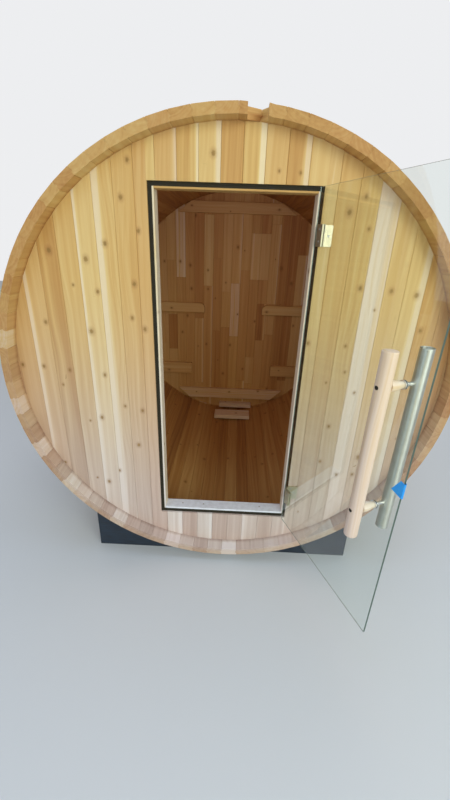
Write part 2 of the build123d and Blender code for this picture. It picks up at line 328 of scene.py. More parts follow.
    def _grain_field(self, add: Adder, across: Socket, through: Socket, along: Socket,
                     seed: Socket) -> tuple[Socket, Socket, Socket]:
        """Work out growth rings, fine fibre and broad streaks.

        Rings are noise along the distance from a heart line outside the board, which wanders
        along its length. Their real spacing is 2 to 3 mm, drawn at about three times that to show.

        Args:
            add: adds a node.
            across: place across the board, bent round knots.
            through: place through the board's thickness.
            along: place along the grain.
            seed: the board's own number.

        Returns:
            Rings, fibre and streaks, each about 0 to 1.
        """
        shift = add("Math", seed, self.shift_lot, operation="MULTIPLY")
        drift = add("Math", along, self.wander_along, shift, operation="MULTIPLY_ADD")
        bend = add("TexNoise", named={"W": drift, "Scale": 1.0, "Detail": 1.0}, noise_dimensions="1D")
        bend = add("Math", bend, 0.5, operation="SUBTRACT")
        place = add("Math", bend, self.wander, across, operation="MULTIPLY_ADD")
        offsets = []
        hearts = zip((place, through), self.heart_lots, (self.heart_across, self.heart_behind))
        for start, factor, limits in hearts:
            lot = add("Math", seed, factor, operation="MULTIPLY")
            lot = add("Math", lot, operation="FRACT")
            lot = add("MapRange", lot, 0.0, 1.0, *limits)
            offsets.append(add("Math", start, lot, operation="SUBTRACT"))
        radius = add("VectorMath", add("CombineXYZ", *offsets, 0.0), **LENGTH)
        turns = add("Math", radius, 1000 / self.ring_mm, shift, operation="MULTIPLY_ADD")
        ring = add("TexNoise", named={"W": turns, "Scale": 1.0, "Detail": 2.0}, noise_dimensions="1D")
        ring = add("MapRange", ring, 0.3, 0.7, 0.0, 1.0)

        spot = add("CombineXYZ", across, through, along)
        shifts = add("CombineXYZ", shift, shift, shift)
        patterns = [ring]
        for lines, detail in ((self.fibre_lines, 3.0), (self.streak_lines, 2.0)):
            drawn = add("VectorMath", spot, lines, operation="MULTIPLY")
            drawn = add("VectorMath", drawn, shifts, operation="ADD")
            patterns.append(add("TexNoise", drawn, named={"Scale": 1.0, "Detail": detail}))
        return tuple(patterns)

    def _sapwood(self, add: Adder, across: Socket, sap: Socket, streak: Socket) -> Socket:
        """Mask the pale sapwood strip down one edge of a board.

        Args:
            add: adds a node.
            across: place across the board.
            sap: the strip's share of the width, negative for the left edge.
            streak: broad streaks, which make the strip's edge wander.

        Returns:
            One in the strip, nought elsewhere.
        """
        half = self.board_half_mm / 1000
        place = add("Math", across, add("Math", sap, operation="SIGN"), operation="MULTIPLY")
        width = add("Math", sap, operation="ABSOLUTE")
        edge = add("Math", width, -2 * half, half, operation="MULTIPLY_ADD")
        wave = add("MapRange", streak, 0.3, 0.7, -self.sap_wander, self.sap_wander)
        place = add("Math", place, wave, operation="ADD")
        past = add("Math", place, edge, operation="SUBTRACT")
        mask = add("MapRange", past, *self.sap_edge, 0.0, self.sap_most)
        there = add("Math", width, 0.01, operation="GREATER_THAN")
        return add("Math", mask, there, operation="MULTIPLY")


@dataclass(frozen=True)
class MetalFinish:
    """A bare or plated metal whose fine brushing or rolling softens what it mirrors.

    The stretch is how close its brush lines lie along each axis, bare is how metallic it is, and
    stretched and its turn shape the highlight.
    """

    name: str
    colour: str
    roughness: float
    brush_mm: float
    stretch: Triple
    bare: float = 1.0
    stretched: float = 0.0
    stretch_turn: float = 0.25
    dulled: str = "8e8f90"
    dull_most: float = 0.22
    rough_shares: Pair = (0.8, 1.25)
    cloud_scale: float = 35.0
    relief_mm: float = 0.02

    def build(self) -> Material:
        """Make the material, with brush lines that run along the axis with the least stretch.

        Returns:
            The metal material on Object coordinates.
        """
        material, add = new_material(self.name)
        place = add("TexCoord", out="Object")
        scale = tuple(share * 1000 / self.brush_mm for share in self.stretch)
        lines = add("VectorMath", place, scale, operation="MULTIPLY")
        brush = add("TexNoise", lines, named={"Scale": 1.0, "Detail": 2.0})
        cloud = add("TexNoise", place, named={"Scale": self.cloud_scale, "Detail": 2.0})
        mixed = add("Math", cloud, 0.5, brush, operation="MULTIPLY_ADD")
        limits = (self.roughness * share for share in self.rough_shares)
        rough = add("MapRange", mixed, 0.4, 1.1, *limits)
        dull = add("MapRange", cloud, 0.35, 0.75, 0.0, self.dull_most)
        colour = add("Mix", named={0: dull, 6: linear(self.colour), 7: linear(self.dulled)}, **MIX)
        normal = add("Bump", 1.0, self.relief_mm / 1000, named={"Height": brush})
        shader = add("BsdfPrincipled", named={
            "Base Color": colour, "Metallic": self.bare, "Roughness": rough, "Normal": normal,
            "Anisotropic": self.stretched, "Anisotropic Rotation": self.stretch_turn})
        add("OutputMaterial", shader)
        return material


@dataclass(frozen=True)
class GlassFinish:
    """Toughened float glass: clear faces, and ground edges that look frosted and grey-green."""

    name: str = "toughened_float_glass"
    face_colour: str = "f3f8f5"
    edge_colour: str = "4d6860"
    shadow_colour: str = "e9f1ec"
    ior: float = 1.52
    edge_roughness: float = 0.5
    edge_through: float = 0.35

    def build(self) -> Material:
        """Make the material, whose edges are told from its faces by the leaf's own direction.

        Returns:
            The glass material, which lets lamps through.
        """
        material, add = new_material(self.name)
        way = math.radians(OPEN_ANGLE)
        facing = (-math.sin(way), math.cos(way), 0.0)
        normal = add("TexCoord", out="Normal")
        cosine = add("VectorMath", normal, facing, out="Value", operation="DOT_PRODUCT")
        cosine = add("Math", cosine, operation="ABSOLUTE")
        face = add("Math", cosine, 0.5, operation="GREATER_THAN")
        colour = add("Mix", named={0: face, 6: linear(self.edge_colour), 7: linear(self.face_colour)}, **MIX)
        rough = add("MapRange", face, 0.0, 1.0, self.edge_roughness, 0.0)
        through = add("MapRange", face, 0.0, 1.0, self.edge_through, 1.0)
        glass = add("BsdfPrincipled", named={
            "Base Color": colour, "Roughness": rough, "IOR": self.ior, "Transmission Weight": through})
        clear = add("BsdfTransparent", linear(self.shadow_colour))
        shader = add("MixShader", add("LightPath", out="Is Shadow Ray"), glass, clear)
        add("OutputMaterial", shader)
        return material


@dataclass(frozen=True)
class MattFinish:
    """A non-metal with a quiet mottled surface, such as rubber, stain on timber or crepe paper."""

    name: str
    colour: str
    second_colour: str
    roughness: float
    patch_mm: Triple
    relief_mm: float
    rough_spread: float = 0.08

    def build(self) -> Material:
        """Make the material, mottled between its two colours in patches of its own size.

        Returns:
            The matt material on Object coordinates.
        """
        material, add = new_material(self.name)
        scale = tuple(1000 / mm for mm in self.patch_mm)
        patches = add("VectorMath", add("TexCoord", out="Object"), scale, operation="MULTIPLY")
        mottle = add("TexNoise", patches, named={"Scale": 1.0, "Detail": 4.0})
        share = add("MapRange", mottle, 0.35, 0.65, 0.0, 1.0)
        colour = add("Mix", named={0: share, 6: linear(self.colour), 7: linear(self.second_colour)}, **MIX)
        limits = (self.roughness - self.rough_spread, self.roughness + self.rough_spread)
        rough = add("MapRange", mottle, 0.3, 0.7, *limits)
        normal = add("Bump", 0.6, self.relief_mm / 1000, named={"Height": mottle})
        shader = add("BsdfPrincipled", named={"Base Color": colour, "Roughness": rough, "Normal": normal})
        add("OutputMaterial", shader)
        return material


class Finish(Enum):
    """The finishes that the sauna wears, each with what makes its material."""

    CEDAR = CedarFinish()
    # Drawn stainless tube, satin-ground round and round: a long soft highlight, cool white.
    SATIN_STEEL = MetalFinish("satin_stainless_steel", "c3c7c1", 0.40, 0.8, (0.03, 0.03, 1.0), stretched=0.85)
    # Brushed nickel plate on the hinges: pale with a faint yellow cast, softer than steel.
    NICKEL = MetalFinish("brushed_nickel_plate", "c6c0a4", 0.42, 0.8, (1.0, 1.0, 0.03))
    # White-anodised aluminium strip: near white and satin; its cold cast is a painted reflection of pale sky.
    ANODISED = MetalFinish("white_anodised_aluminium", "edf4ff", 0.45, 1.0, (0.03, 1.0, 1.0), 0.0)
    # Rolled stainless strip for the bands: grey, with a faint grain round the barrel.
    ROLLED_STRIP = MetalFinish("rolled_stainless_strip", "b5b8ba", 0.36, 1.0, (1.0, 0.05, 1.0))
    # Zinc-plated screws: small and bright with a grey cast.
    ZINC = MetalFinish("zinc_plated_steel", "bfc0bd", 0.34, 0.6, (1.0, 1.0, 1.0))
    GLASS = GlassFinish()
    # Chrome plate over brass: near a mirror, so the rods catch a hard white line.
    CHROME = MetalFinish("polished_chrome_plate", "e6e8ea", 0.10, 2.0, (1.0, 1.0, 1.0))
    # Extruded EPDM rubber: near black with an olive cast, matt.
    RUBBER = MattFinish("extruded_epdm_rubber", "1f1c11", "282414", 0.88, (9.0, 9.0, 30.0), 0.04)
    # Softwood under a dark blue-black stain: flat, with the grain just raised.
    STAIN = MattFinish("stained_softwood", "141f2b", "213142", 0.62, (60.0, 9.0, 5.0), 0.5)
    # Crepe paper tape: saturated blue, dry, finely wrinkled.
    CREPE = MattFinish("crepe_paper_tape", "0f95fb", "3fb0ff", 0.7, (2.0, 2.0, 12.0), 0.3)

    def material(self) -> Material:
        """Return the finish's material, made when it is first asked for."""
        return bpy.data.materials.get(self.value.name) or self.value.build()


# Shapes


@dataclass
class Surface:
    """The points and faces of closed solids, with what the wood finish reads at each point.

    Faces that meet at less than the smooth angle, in degrees, shade as one.
    """

    points: np.ndarray
    quads: np.ndarray
    grain: np.ndarray
    board: np.ndarray
    knot: np.ndarray
    cut: np.ndarray
    smooth_angle: float = 0.0

    @classmethod
    def bare(cls, points: np.ndarray, quads: np.ndarray, smooth_angle: float = 0.0) -> "Surface":
        """Return a closed solid that isn't wood."""
        blank = np.zeros((len(points), 3))
        return cls(points, outward(points, quads), points, blank, blank, blank[:, 0], smooth_angle)

    @staticmethod
    def joined(parts: Sequence["Surface"]) -> "Surface":
        """Put several surfaces into one mesh's worth of arrays.

        Args:
            parts: the surfaces to gather.

        Returns:
            One surface, the face indices shifted by the points that come before.
        """
        starts = np.cumsum([0, *(len(part.points) for part in parts[:-1])])
        quads = np.concatenate([part.quads + start for part, start in zip(parts, starts)])
        points, *rest = (np.concatenate([getattr(part, name) for part in parts])
                         for name in ("points", *WOOD_DATA, "cut"))
        return Surface(points, quads, *rest, parts[0].smooth_angle)


@dataclass(frozen=True)
class Placement:
    """Where a piece's own directions across, through and along it point in the frame."""

    origin: Triple
    across: Triple
    through: Triple
    along: Triple

    def apply(self, local: np.ndarray) -> np.ndarray:
        """Carry points from the piece's own directions into the frame.

        Args:
            local: points as (across, through, along), in metres.

        Returns:
            The points in the frame.
        """
        return np.asarray(self.origin) + local @ np.array([self.across, self.through, self.along])

    def rolled(self) -> "Placement":
        """Return the placement with its along pointing where its through did."""
        return Placement(self.origin, self.across, self.along, self.through)


# How a board lies: its width sideways and standing up, its width upwards and running sideways, or
# its width front to back and standing up or running sideways

UPRIGHT = Placement((0, 0, 0), (1, 0, 0), (0, 1, 0), (0, 0, 1))
ON_EDGE = Placement((0, 0, 0), (0, 0, 1), (0, 1, 0), (1, 0, 0))
JAMBWISE = Placement((0, 0, 0), (0, 1, 0), (1, 0, 0), (0, 0, 1))
FLAT = Placement((0, 0, 0), (0, 1, 0), (0, 0, 1), (1, 0, 0))


def ring_quads(rows: int, count: int, grooved: bool = False) -> np.ndarray:
    """List the quads of a tube of rings, with its two ends filled.

    Point i of a row joins point i+1 of that row and both of the next row. A ring runs out along
    one side and back along the other, so an end is filled by strips between point j and its
    opposite, count-1-j. Where the left edge has a groove, the lips on both sides of it are
    filled between its arc, points 0 to 3, and the corner and face, points 4 to 7.

    Args:
        rows: number of rings.
        count: points in a ring, an even number.
        grooved: whether the left edge has a groove.

    Returns:
        Quads as point indices.
    """
    row = np.arange(rows - 1)[:, None] * count
    here = np.arange(count)[None, :]
    after = (here + 1) % count
    side = np.stack([row + here, row + after, row + count + after, row + count + here], axis=-1)
    j = np.arange(count // 2 - 1)
    strip = np.stack([j, count - 1 - j, count - 2 - j, j + 1], axis=-1)
    if grooved:
        lip = np.array([(0, 7, 6, 1), (1, 6, 5, 2), (2, 5, 4, 3)])
        floor = np.array([(0, count - 1, count - 8, 7)])
        strip = np.concatenate([lip, count - 1 - lip[:, ::-1], floor, strip[7:]])
    return np.concatenate([side.reshape(-1, 4), strip, (rows - 1) * count + strip[:, ::-1]])


def outward(points: np.ndarray, quads: np.ndarray) -> np.ndarray:
    """Turn the faces of a closed solid outwards.

    The signed volume is the sum over faces of the triple product of their corners; where it is
    negative every face is reversed.

    Args:
        points: the solid's points.
        quads: its faces.

    Returns:
        The faces, facing outwards.
    """
    a, b, c, d = (points[quads[:, i]] for i in range(4))
    volume = np.einsum("ij,ij->", a, np.cross(b, c)) + np.einsum("ij,ij->", a, np.cross(c, d))
    return quads if volume > 0 else quads[:, ::-1]


class Edge(Enum):
    """How the long edge of a board is worked."""

    GROOVE = "groove"
    TONGUE = "tongue"
    EASED = "eased"
    SQUARE = "square"


# How a board's edge is drawn: its arc's turns in degrees, and where points lie as shares

ARC_TURNS = (6.0, 28.0, 50.0, 71.5)
CORNER_MIDDLE = 0.29
PLAIN_EDGE = (0.1, 0.3, 0.5, 0.7)


@dataclass(frozen=True)
class Section:
    """A board's cross-section, drawn across and through it."""

    left: float
    right: float
    thickness: float
    taper: float = 0.0
    left_edge: Edge = Edge.EASED
    right_edge: Edge = Edge.EASED
    ease: float = 0.0015
    column: float = 0.022
    tongue_radius: float = 0.007
    tongue_sink: float = 0.002
    joint_gap: float = 0.0003

    def chains(self) -> np.ndarray:
        """Draw the section as two chains of points, both from left to right.

        The outer chain rises from the left edge's middle, crosses the face and comes down to the
        right edge's middle; the inner chain mirrors it, narrower by the taper.

        Returns:
            Array of (chain, point, across and through).
        """
        half = self.thickness / 2
        width = self.right - self.left
        columns = max(int(width / self.column), 1)
        sides = []
        for sign in (1.0, -1.0):
            widen = self.taper * sign / 2
            left, left_x = self._edge(self.left_edge, sign, widen)
            right, right_x = self._edge(self.right_edge, sign, widen)
            left[:, 0] = self.left - left[:, 0]
            right[:, 0] = self.right + right[:, 0]
            x0, x1 = self.left - left_x, self.right + right_x
            face = np.linspace(x0, x1, columns + 1)[1:-1]
            face = np.stack([face, np.full_like(face, sign * half)], axis=-1)
            sides.append(np.concatenate([left, face, right[::-1]]))
        return np.array(sides)

    def _edge(self, style: Edge, sign: float, widen: float) -> tuple[np.ndarray, float]:
        """Draw one edge, as outward reach from the nominal edge, from its middle to the face.

        A tongue is an arc about a centre sunk in the board, a groove the arc of the next board's
        tongue, wider by the joint's gap.

        Args:
            style: how the edge is worked.
            sign: one for the outer face, minus one for the inner.
            widen: how far the taper moves the face's corner outwards.

        Returns:
            The edge's points and how far out the last one lies.
        """
        half = self.thickness / 2
        ease = 0.0 if style is Edge.SQUARE else self.ease
        corner = widen - ease
        middle = ease * CORNER_MIDDLE
        end = np.array([(widen * (1 - ease / half), half - ease), (corner + middle, half - middle),
                        (corner, half)])
        turn = np.radians(ARC_TURNS)
        if style is Edge.TONGUE:
            reach = self.tongue_radius * np.cos(turn) - self.tongue_sink
            arc = np.stack([reach, self.tongue_radius * np.sin(turn)], axis=-1)
        elif style is Edge.GROOVE:
            radius = self.tongue_radius + self.joint_gap
            reach = self.tongue_sink + self.joint_gap - radius * np.cos(turn)
            arc = np.stack([reach, radius * np.sin(turn)], axis=-1)
        else:
            arc = np.array([(0.0, half * share) for share in PLAIN_EDGE])
        points = np.concatenate([arc, end])
        points[:, 1] *= sign
        return points, corner


# How knots lie in a board, in metres

NO_KNOTS = np.zeros((0, 3))
KNOT_REACHES = (0.028, 0.045)
KNOT_APART = 0.02
KNOT_RADII = (0.0025, 0.0085)
KNOT_INSET = 0.008


def nearest_knot(local: np.ndarray, knots: np.ndarray) -> np.ndarray:
    """Give each point the offset to its nearest knot.

    Lengths along the board count half, as a knot bends the grain farther that way. A knot reaches
    45 mm, or less where the next one is near. Points out of every knot's reach get a far offset
    and no radius, so that nothing shows where the nearest knot changes.

    Args:
        local: the points across, through and along the board.
        knots: rows of place across, place along and radius.

    Returns:
        Offset across, offset along and the knot's radius.
    """
    far = np.tile((1.0, 1.0, 0.0), (len(local), 1))
    if not len(knots):
        return far
    spread = np.hypot(knots[:, None, 0] - knots[None, :, 0], (knots[:, None, 1] - knots[None, :, 1]) / 2)
    np.fill_diagonal(spread, 1.0)
    reach = np.clip((spread.min(axis=1) - KNOT_APART) / 2, *KNOT_REACHES)
    beside = local[:, :1] - knots[None, :, 0]
    beyond = local[:, 2:] - knots[None, :, 1]
    distance = np.hypot(beside, beyond / 2)
    pick = np.argmin(distance, axis=1)
    row = np.arange(len(local))
    found = np.stack([beside[row, pick], beyond[row, pick], knots[pick, 2]], axis=-1)
    return np.where((distance[row, pick] < reach[pick])[:, None], found, far)


@dataclass
class Board:
    """One board: its section carried along its length between two end curves."""

    section: Section
    start: Curve
    end: Curve
    seed: float
    tone: float = 0.5
    sap: float = 0.0
    knots: np.ndarray = field(default_factory=lambda: NO_KNOTS)
    pitch: float = 0.03
    end_ease: float = 0.0
    centre: Pair | None = None
    notches: tuple[Pair, ...] = ()
    notch_depth: float = 0.012
    depth: float = 0.0

    def surface(self, placement: Placement) -> Surface:
        """Build the board.

        Each ring is the section; its place along the board goes from the start curve to the end
        curve, both functions of the place across. At eased ends the first and last rings shrink
        by the ease. Inside a notch the inner face is cut back to the notch's depth.

        Args:
            placement: where the board's directions point.

        Returns:
            The board as one closed solid, with its grain.
        """
        chains = self.section.chains()
        loop = np.concatenate([chains[0], chains[1][::-1]])
        half = self.section.thickness / 2
        middle = (self.section.left + self.section.right) / 2
        start, end = self.start(loop[:, 0]), self.end(loop[:, 0])
        share, shift, inset, low = self._rows(float(np.max(end - start)), float(np.min(start)))
        reach = (self.section.right - self.section.left) / 2
        across = middle + (loop[None, :, 0] - middle) * (1 - inset[:, None] / reach)
        through = np.maximum(loop[None, :, 1] * (1 - inset[:, None] / half), low[:, None])
        along = start[None, :] + share[:, None] * (end - start)[None, :] + shift[:, None]
        local = np.stack([across, through, along], axis=-1).reshape(-1, 3)
        centre = self.centre or (middle, 0.0)
        grain = local - np.array([centre[0], 0.0, centre[1]])
        points = placement.apply(local + np.array([0.0, self.depth, 0.0]))
        grooved = self.section.left_edge is Edge.GROOVE
        quads = outward(points, ring_quads(len(share), len(loop), grooved))
        board = np.tile((self.seed, self.tone, self.sap), (len(points), 1))
        cut = np.repeat((inset > 0).astype(float), len(loop))
        return Surface(points, quads, grain, board, nearest_knot(local, self.knots), cut)

    def _rows(self, length: float, first: float) -> tuple[np.ndarray, ...]:
        """Lay out the rings along the board.

        Args:
            length: the board's greatest length.
            first: where the board starts.

        Returns:
            For each ring its share of the length, a shift, its inset and the inner face's limit.
        """
        half = self.section.thickness / 2
        ease = self.end_ease
        steps = np.linspace(0.0, 1.0, max(int(length / self.pitch), 2) + 1)
        share, shift = steps, np.zeros_like(steps)
        shift[0], shift[-1] = ease, -ease
        low = np.full_like(share, -half)
        cuts = [(y - first) / length for front, back in self.notches for y in (front, front, back, back)]
        floor = self.notch_depth - half
        levels = [-half, floor, floor, -half] * len(self.notches)
        inside = np.zeros_like(share, dtype=bool)
        for a, b in self.notches:
            inside |= (share >= (a - first) / length) & (share <= (b - first) / length)
        order = np.argsort(np.concatenate([share[~inside], cuts]), kind="stable")
        share = np.concatenate([share[~inside], cuts])[order]
        low = np.concatenate([low[~inside], levels])[order]
        shift = np.concatenate([shift[~inside], np.zeros(len(cuts))])[order]
        inset = np.zeros_like(share)
        if ease:
            share = np.concatenate([[0.0], share, [1.0]])
            shift = np.concatenate([[0.0], shift, [0.0]])
            low = np.concatenate([low[:1], low, low[-1:]])
            inset = np.concatenate([[ease], inset, [ease]])
        return share, shift, inset, low


def level_curve(value: float) -> Curve:
    """Return a curve that is the same value everywhere."""
    return lambda across: np.full_like(across, value)


def mirrored(curve: Curve) -> Curve:
    """Return a curve's mirror image across the middle."""
    return lambda across: -curve(across)


def round_curve(radius: float, sign: float) -> Curve:
    """Return the upper or lower half of a circle about the barrel's axis.

    Args:
        radius: the circle's radius.
        sign: one for the upper half, minus one for the lower.

    Returns:
        Height as a function of the place across.
    """
    return lambda across: AXIS_Z + sign * np.sqrt(np.maximum(radius ** 2 - across ** 2, 0.0))


def scattered_knots(rng: np.random.Generator, across: Pair, along: Pair, spacing: float) -> np.ndarray:
    """Scatter small knots down a board.

    Args:
        rng: the seeded source of chance.
        across: the board's edges.
        along: the board's ends.
        spacing: usual distance between knots along the board.

    Returns:
        Rows of place across, place along and radius.
    """
    count = int((along[1] - along[0]) / spacing)
    if count < 1:
        return NO_KNOTS
    places = np.linspace(*along, count + 1)[:-1] + rng.uniform(0.15, 0.85, count) * spacing
    sides = rng.uniform(across[0] + KNOT_INSET, across[1] - KNOT_INSET, count)
    return np.stack([sides, places, rng.uniform(*KNOT_RADII, count)], axis=-1)


def turned(profile: Sequence[Pair], placement: Placement, sides: int = 32,
           look: Triple = (0.5, 0.5, 0.0), knots: np.ndarray = NO_KNOTS) -> Surface:
    """Build a turned piece: a profile of radius against length, carried round its axis.

    Args:
        profile: pairs of radius and place along the axis.
        placement: where the piece's directions point.
        sides: points round the piece.
        look: the wood's seed, tone and sapwood.
        knots: knots as place across, place along and radius.

    Returns:
        The piece as one closed solid.
    """
    radius, along = np.array(profile).T
    turn = (np.arange(sides) + 0.5) * 2 * np.pi / sides
    local = np.stack([radius[:, None] * np.cos(turn), radius[:, None] * np.sin(turn),
                      np.broadcast_to(along[:, None], (len(along), sides))], axis=-1).reshape(-1, 3)
    points = placement.apply(local)
    quads = outward(points, ring_quads(len(along), sides))
    board = np.tile(look, (len(points), 1))
    knot = nearest_knot(local, knots)
    knot[local[:, 1] > 0, 2] = 0.0
    return Surface(points, quads, local, board, knot, np.zeros(len(points)), SMOOTH_ANGLE)


# A screw head's profile: shares of its radius, and heights over its seat in metres

SCREW_PROFILE = ((0.9, -0.0004), (1.0, 0.0), (1.0, 0.0004), (0.8, 0.0011), (0.5, 0.0014), (0.42, 0.0013),
                 (0.34, 0.0002), (0.05, 0.0001))


def screw_head(radius: float, spot: Triple, facing: Triple) -> Surface:
    """Build a domed screw head with a round drive recess.

    Args:
        radius: the head's radius.
        spot: the middle of its seat.
        facing: the way the head faces.

    Returns:
        The head, turned about its own axis.
    """
    out = np.array(facing, float)
    side = np.cross(out, (0.0, 0.0, 1.0) if abs(out[2]) < 0.9 else (1.0, 0.0, 0.0))
    side /= np.linalg.norm(side)
    placement = Placement(spot, tuple(side), tuple(np.cross(out, side)), tuple(out))
    profile = [(radius * share, rise) for share, rise in SCREW_PROFILE]
    return turned(profile, placement, 20)


def new_object(name: str, data: bpy.types.ID) -> bpy.types.Object:
    """Make an object and put it in the scene.

    Args:
        name: the object's name.
        data: its mesh, lamp or camera.

    Returns:
        The new object.
    """
    made = bpy.data.objects.new(name, data)
    bpy.context.scene.collection.objects.link(made)
    return made


def add_piece(name: str, surface: Surface, finish: Finish, body: str,
              replaces: Sequence[str] = ()) -> bpy.types.Object:
    """Turn a surface into an object that rides on a body.

    Args:
        name: the object's name.
        surface: its points, faces and wood data.
        finish: what it is made of.
        body: the CAD body that carries it.
        replaces: CAD nodes that it stands for.

    Returns:
        The new object.
    """
    mesh = bpy.data.meshes.new(name)
    mesh.from_pydata(surface.points, [], surface.quads.tolist())
    for label in WOOD_DATA:
        layer = mesh.attributes.new(label, "FLOAT_VECTOR", "POINT")
        layer.data.foreach_set("vector", getattr(surface, label).astype(np.float32).ravel())
    layer = mesh.attributes.new("cut", "FLOAT", "POINT")
    layer.data.foreach_set("value", surface.cut.astype(np.float32))
    if surface.smooth_angle:
        mesh.shade_smooth()
        mesh.set_sharp_from_angle(angle=math.radians(surface.smooth_angle))
    mesh.materials.append(finish.material())
    piece = new_object(name, mesh)
    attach(piece, body)
    if replaces:
        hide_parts(*replaces)
    LOG.info("%s: %d faces", name, len(mesh.polygons))
    return piece


def eased_copy(node: str, finish: Finish, body: str, width: float) -> bpy.types.Object:
    """Stand a merged copy with eased edges in for a CAD node.

    Args:
        node: the CAD node.
        finish: what it is made of.
        body: the CAD body that carries it.
        width: how wide the easing is.

    Returns:
        The new object.
    """
    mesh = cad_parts[node].data.copy()
    mesh.materials.clear()
    mesh.materials.append(finish.material())
    piece = new_object(f"eased_{node}", mesh)
    weld = piece.modifiers.new("weld", "WELD")
    weld.merge_threshold = HAIR
    bevel = piece.modifiers.new("ease", "BEVEL")
    bevel.width = width
    bevel.segments = 2
    bevel.limit_method = "ANGLE"
    bevel.angle_limit = math.radians(SMOOTH_ANGLE)
    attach(piece, body)
    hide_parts(node)
    LOG.info("%s stands for %s", piece.name, node)
    return piece


def dress(node: str, finish: Finish) -> None:
    """Give a CAD node its finish in place.

    Args:
        node: the CAD node.
        finish: what it is made of.
    """
    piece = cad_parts[node]
    piece.data.materials.clear()
    piece.data.materials.append(finish.material())
    LOG.info("%s dressed in %s", node, finish.value.name)


# Sub-assemblies


@dataclass
class Barrel:
    """The staves, in the CAD's groups of six, with the notch in the front rim.

    An arc of staves, up to an index, draws its tones at random from its own range. The ranges run
    lower towards the top, painted shade on the upper rim, and are palest at the bottom. Some staves
    have a given tone instead.
    """

    radius: float = 1.065
    thickness: float = 0.038
    count: int = 78
    in_group: int = 6
    seam: float = 0.0003
    ease: float = 0.0018
    end_ease: float = 0.0005
    notch: Pair = (0.032, 0.108)
    unevenness: float = 0.0006
    knot_spacing: float = 0.7
    ring_pitch: float = 0.05
    # Painted shade on the staves' room side: its range of tones, how much darker it is, and how much of the
    # stave's own tone shows.
    room_shade_tones: Pair = (0.40, 0.56)
    room_painted_shade: float = 0.26
    room_follows: float = 0.35
    rng: np.random.Generator = field(default_factory=partial(np.random.default_rng, 7))
    # Tones by arc: random within each range. The upper arcs' ranges are lower as painted shade on the upper
    # rim.
    tone_and_shade_arcs: tuple[tuple[int, float, float], ...] = (
        (22, 0.32, 0.50), (31, 0.34, 0.50), (46, 0.54, 0.78), (60, 0.42, 0.62), (78, 0.36, 0.58))
    given_tones: dict[int, float] = field(default_factory=lambda: {
        34: 0.76, 38: 1.05, 40: 0.46, 42: 0.96, 44: 0.44, 46: 0.74, 49: 0.8, 50: 0.78, 51: 0.42,
        53: 0.9, 54: 0.4, 55: 0.44, 56: 0.92, 58: 0.4, 59: 0.44, 60: 0.8})

    def stave_section(self) -> Section:
        """Work out a stave's section from the barrel's round.

        Its outer face is a chord of the outer circle, its inner face a chord of the inner one.

        Returns:
            The section, narrower inside.
        """
        half_turn = math.pi / self.count
        outer, inner = (2 * radius * math.sin(half_turn) - self.seam
                        for radius in (self.radius, self.radius - self.thickness))
        middle = (outer + inner) / 2
        return Section(-middle / 2, middle / 2, self.thickness * math.cos(half_turn),
                       taper=(outer - inner) / 2, left_edge=Edge.GROOVE, right_edge=Edge.TONGUE,
                       ease=self.ease, column=0.03)

    def stave(self, index: int) -> Surface:
        """Build one stave in its place round the barrel.

        Its room side is darker than the rest: painted shade inside the room.

        Args:
            index: the stave's place, counted from the top towards the door's handle side.

        Returns:
            The stave as one closed solid.
        """
        turn = 2 * math.pi * (index + 0.5) / self.count
        flat = math.cos(math.pi / self.count)
        middle = (self.radius - self.thickness / 2) * flat
        placement = Placement((0.0, 0.0, AXIS_Z), (math.cos(turn), 0.0, -math.sin(turn)),
                              (math.sin(turn), 0.0, math.cos(turn)), (0.0, 1.0, 0.0))
        section = self.stave_section()
        front = Y_FRONT + self.rng.uniform(0.0, self.unevenness)
        back = Y_BACK - self.rng.uniform(0.0, self.unevenness)
        low, high = next((low, high) for last, low, high in self.tone_and_shade_arcs if index < last)
        tone = self.given_tones.get(index, self.rng.uniform(low, high))
        board = Board(section, level_curve(front), level_curve(back), self.rng.uniform(), tone, 0.0,
                      scattered_knots(self.rng, (section.left, section.right), (front, back),
                                      self.knot_spacing),
                      pitch=self.ring_pitch, end_ease=self.end_ease, depth=middle,
                      notches=tuple((wall, wall + WALL_THICK) for wall in (Y_WALL, Y_BACK_WALL)))
        surface = board.surface(placement)
        x, y, z = surface.points.T
        depth = x * math.sin(turn) + (z - AXIS_Z) * math.cos(turn)
        inside = (depth < middle) & (y > Y_WALL) & (y < Y_BACK_WALL)
        # Painted shade: the room side gets a darker tone than the stave's own.
        shade = self.rng.uniform(*self.room_shade_tones) - self.room_painted_shade + self.room_follows * (tone - 0.5)
        surface.board[:, 1] = np.where(inside, shade, tone)
        return self._notched(surface, turn)

    def _notched(self, surface: Surface, turn: float) -> Surface:
        """Cut the rim's notch from a stave that reaches into it.

        In front of the wall each point's place across the barrel is held to the notch's near side.

        Args:
            surface: the stave.
            turn: how far round from the top it lies.

        Returns:
            The stave, cut where the notch reaches it.
        """
        x, y = surface.points[:, 0], surface.points[:, 1]
        left, right = self.notch
        if math.cos(turn) < 0 or x.max() < left or x.min() > right:
            return surface
        beside_left = (self.radius - self.thickness) * math.sin(turn) < (left + right) / 2
        limit = np.minimum(x, left) if beside_left else np.maximum(x, right)
        surface.points[:, 0] = np.where(y < Y_WALL - HAIR, limit, x)
        return surface

    def build(self) -> None:
        """Build the staves, a piece for each group of the CAD."""
        staves = [self.stave(index) for index in range(self.count)]
        for group in range(self.count // self.in_group):
            first = group * self.in_group - self.in_group // 2
            members = [staves[place % self.count] for place in range(first, first + self.in_group)]
            number = f"{group + 1:02d}"
            add_piece(f"cedar_staves_{number}", Surface.joined(members), Finish.CEDAR, "barrel",
                      [f"staves_{number}"])


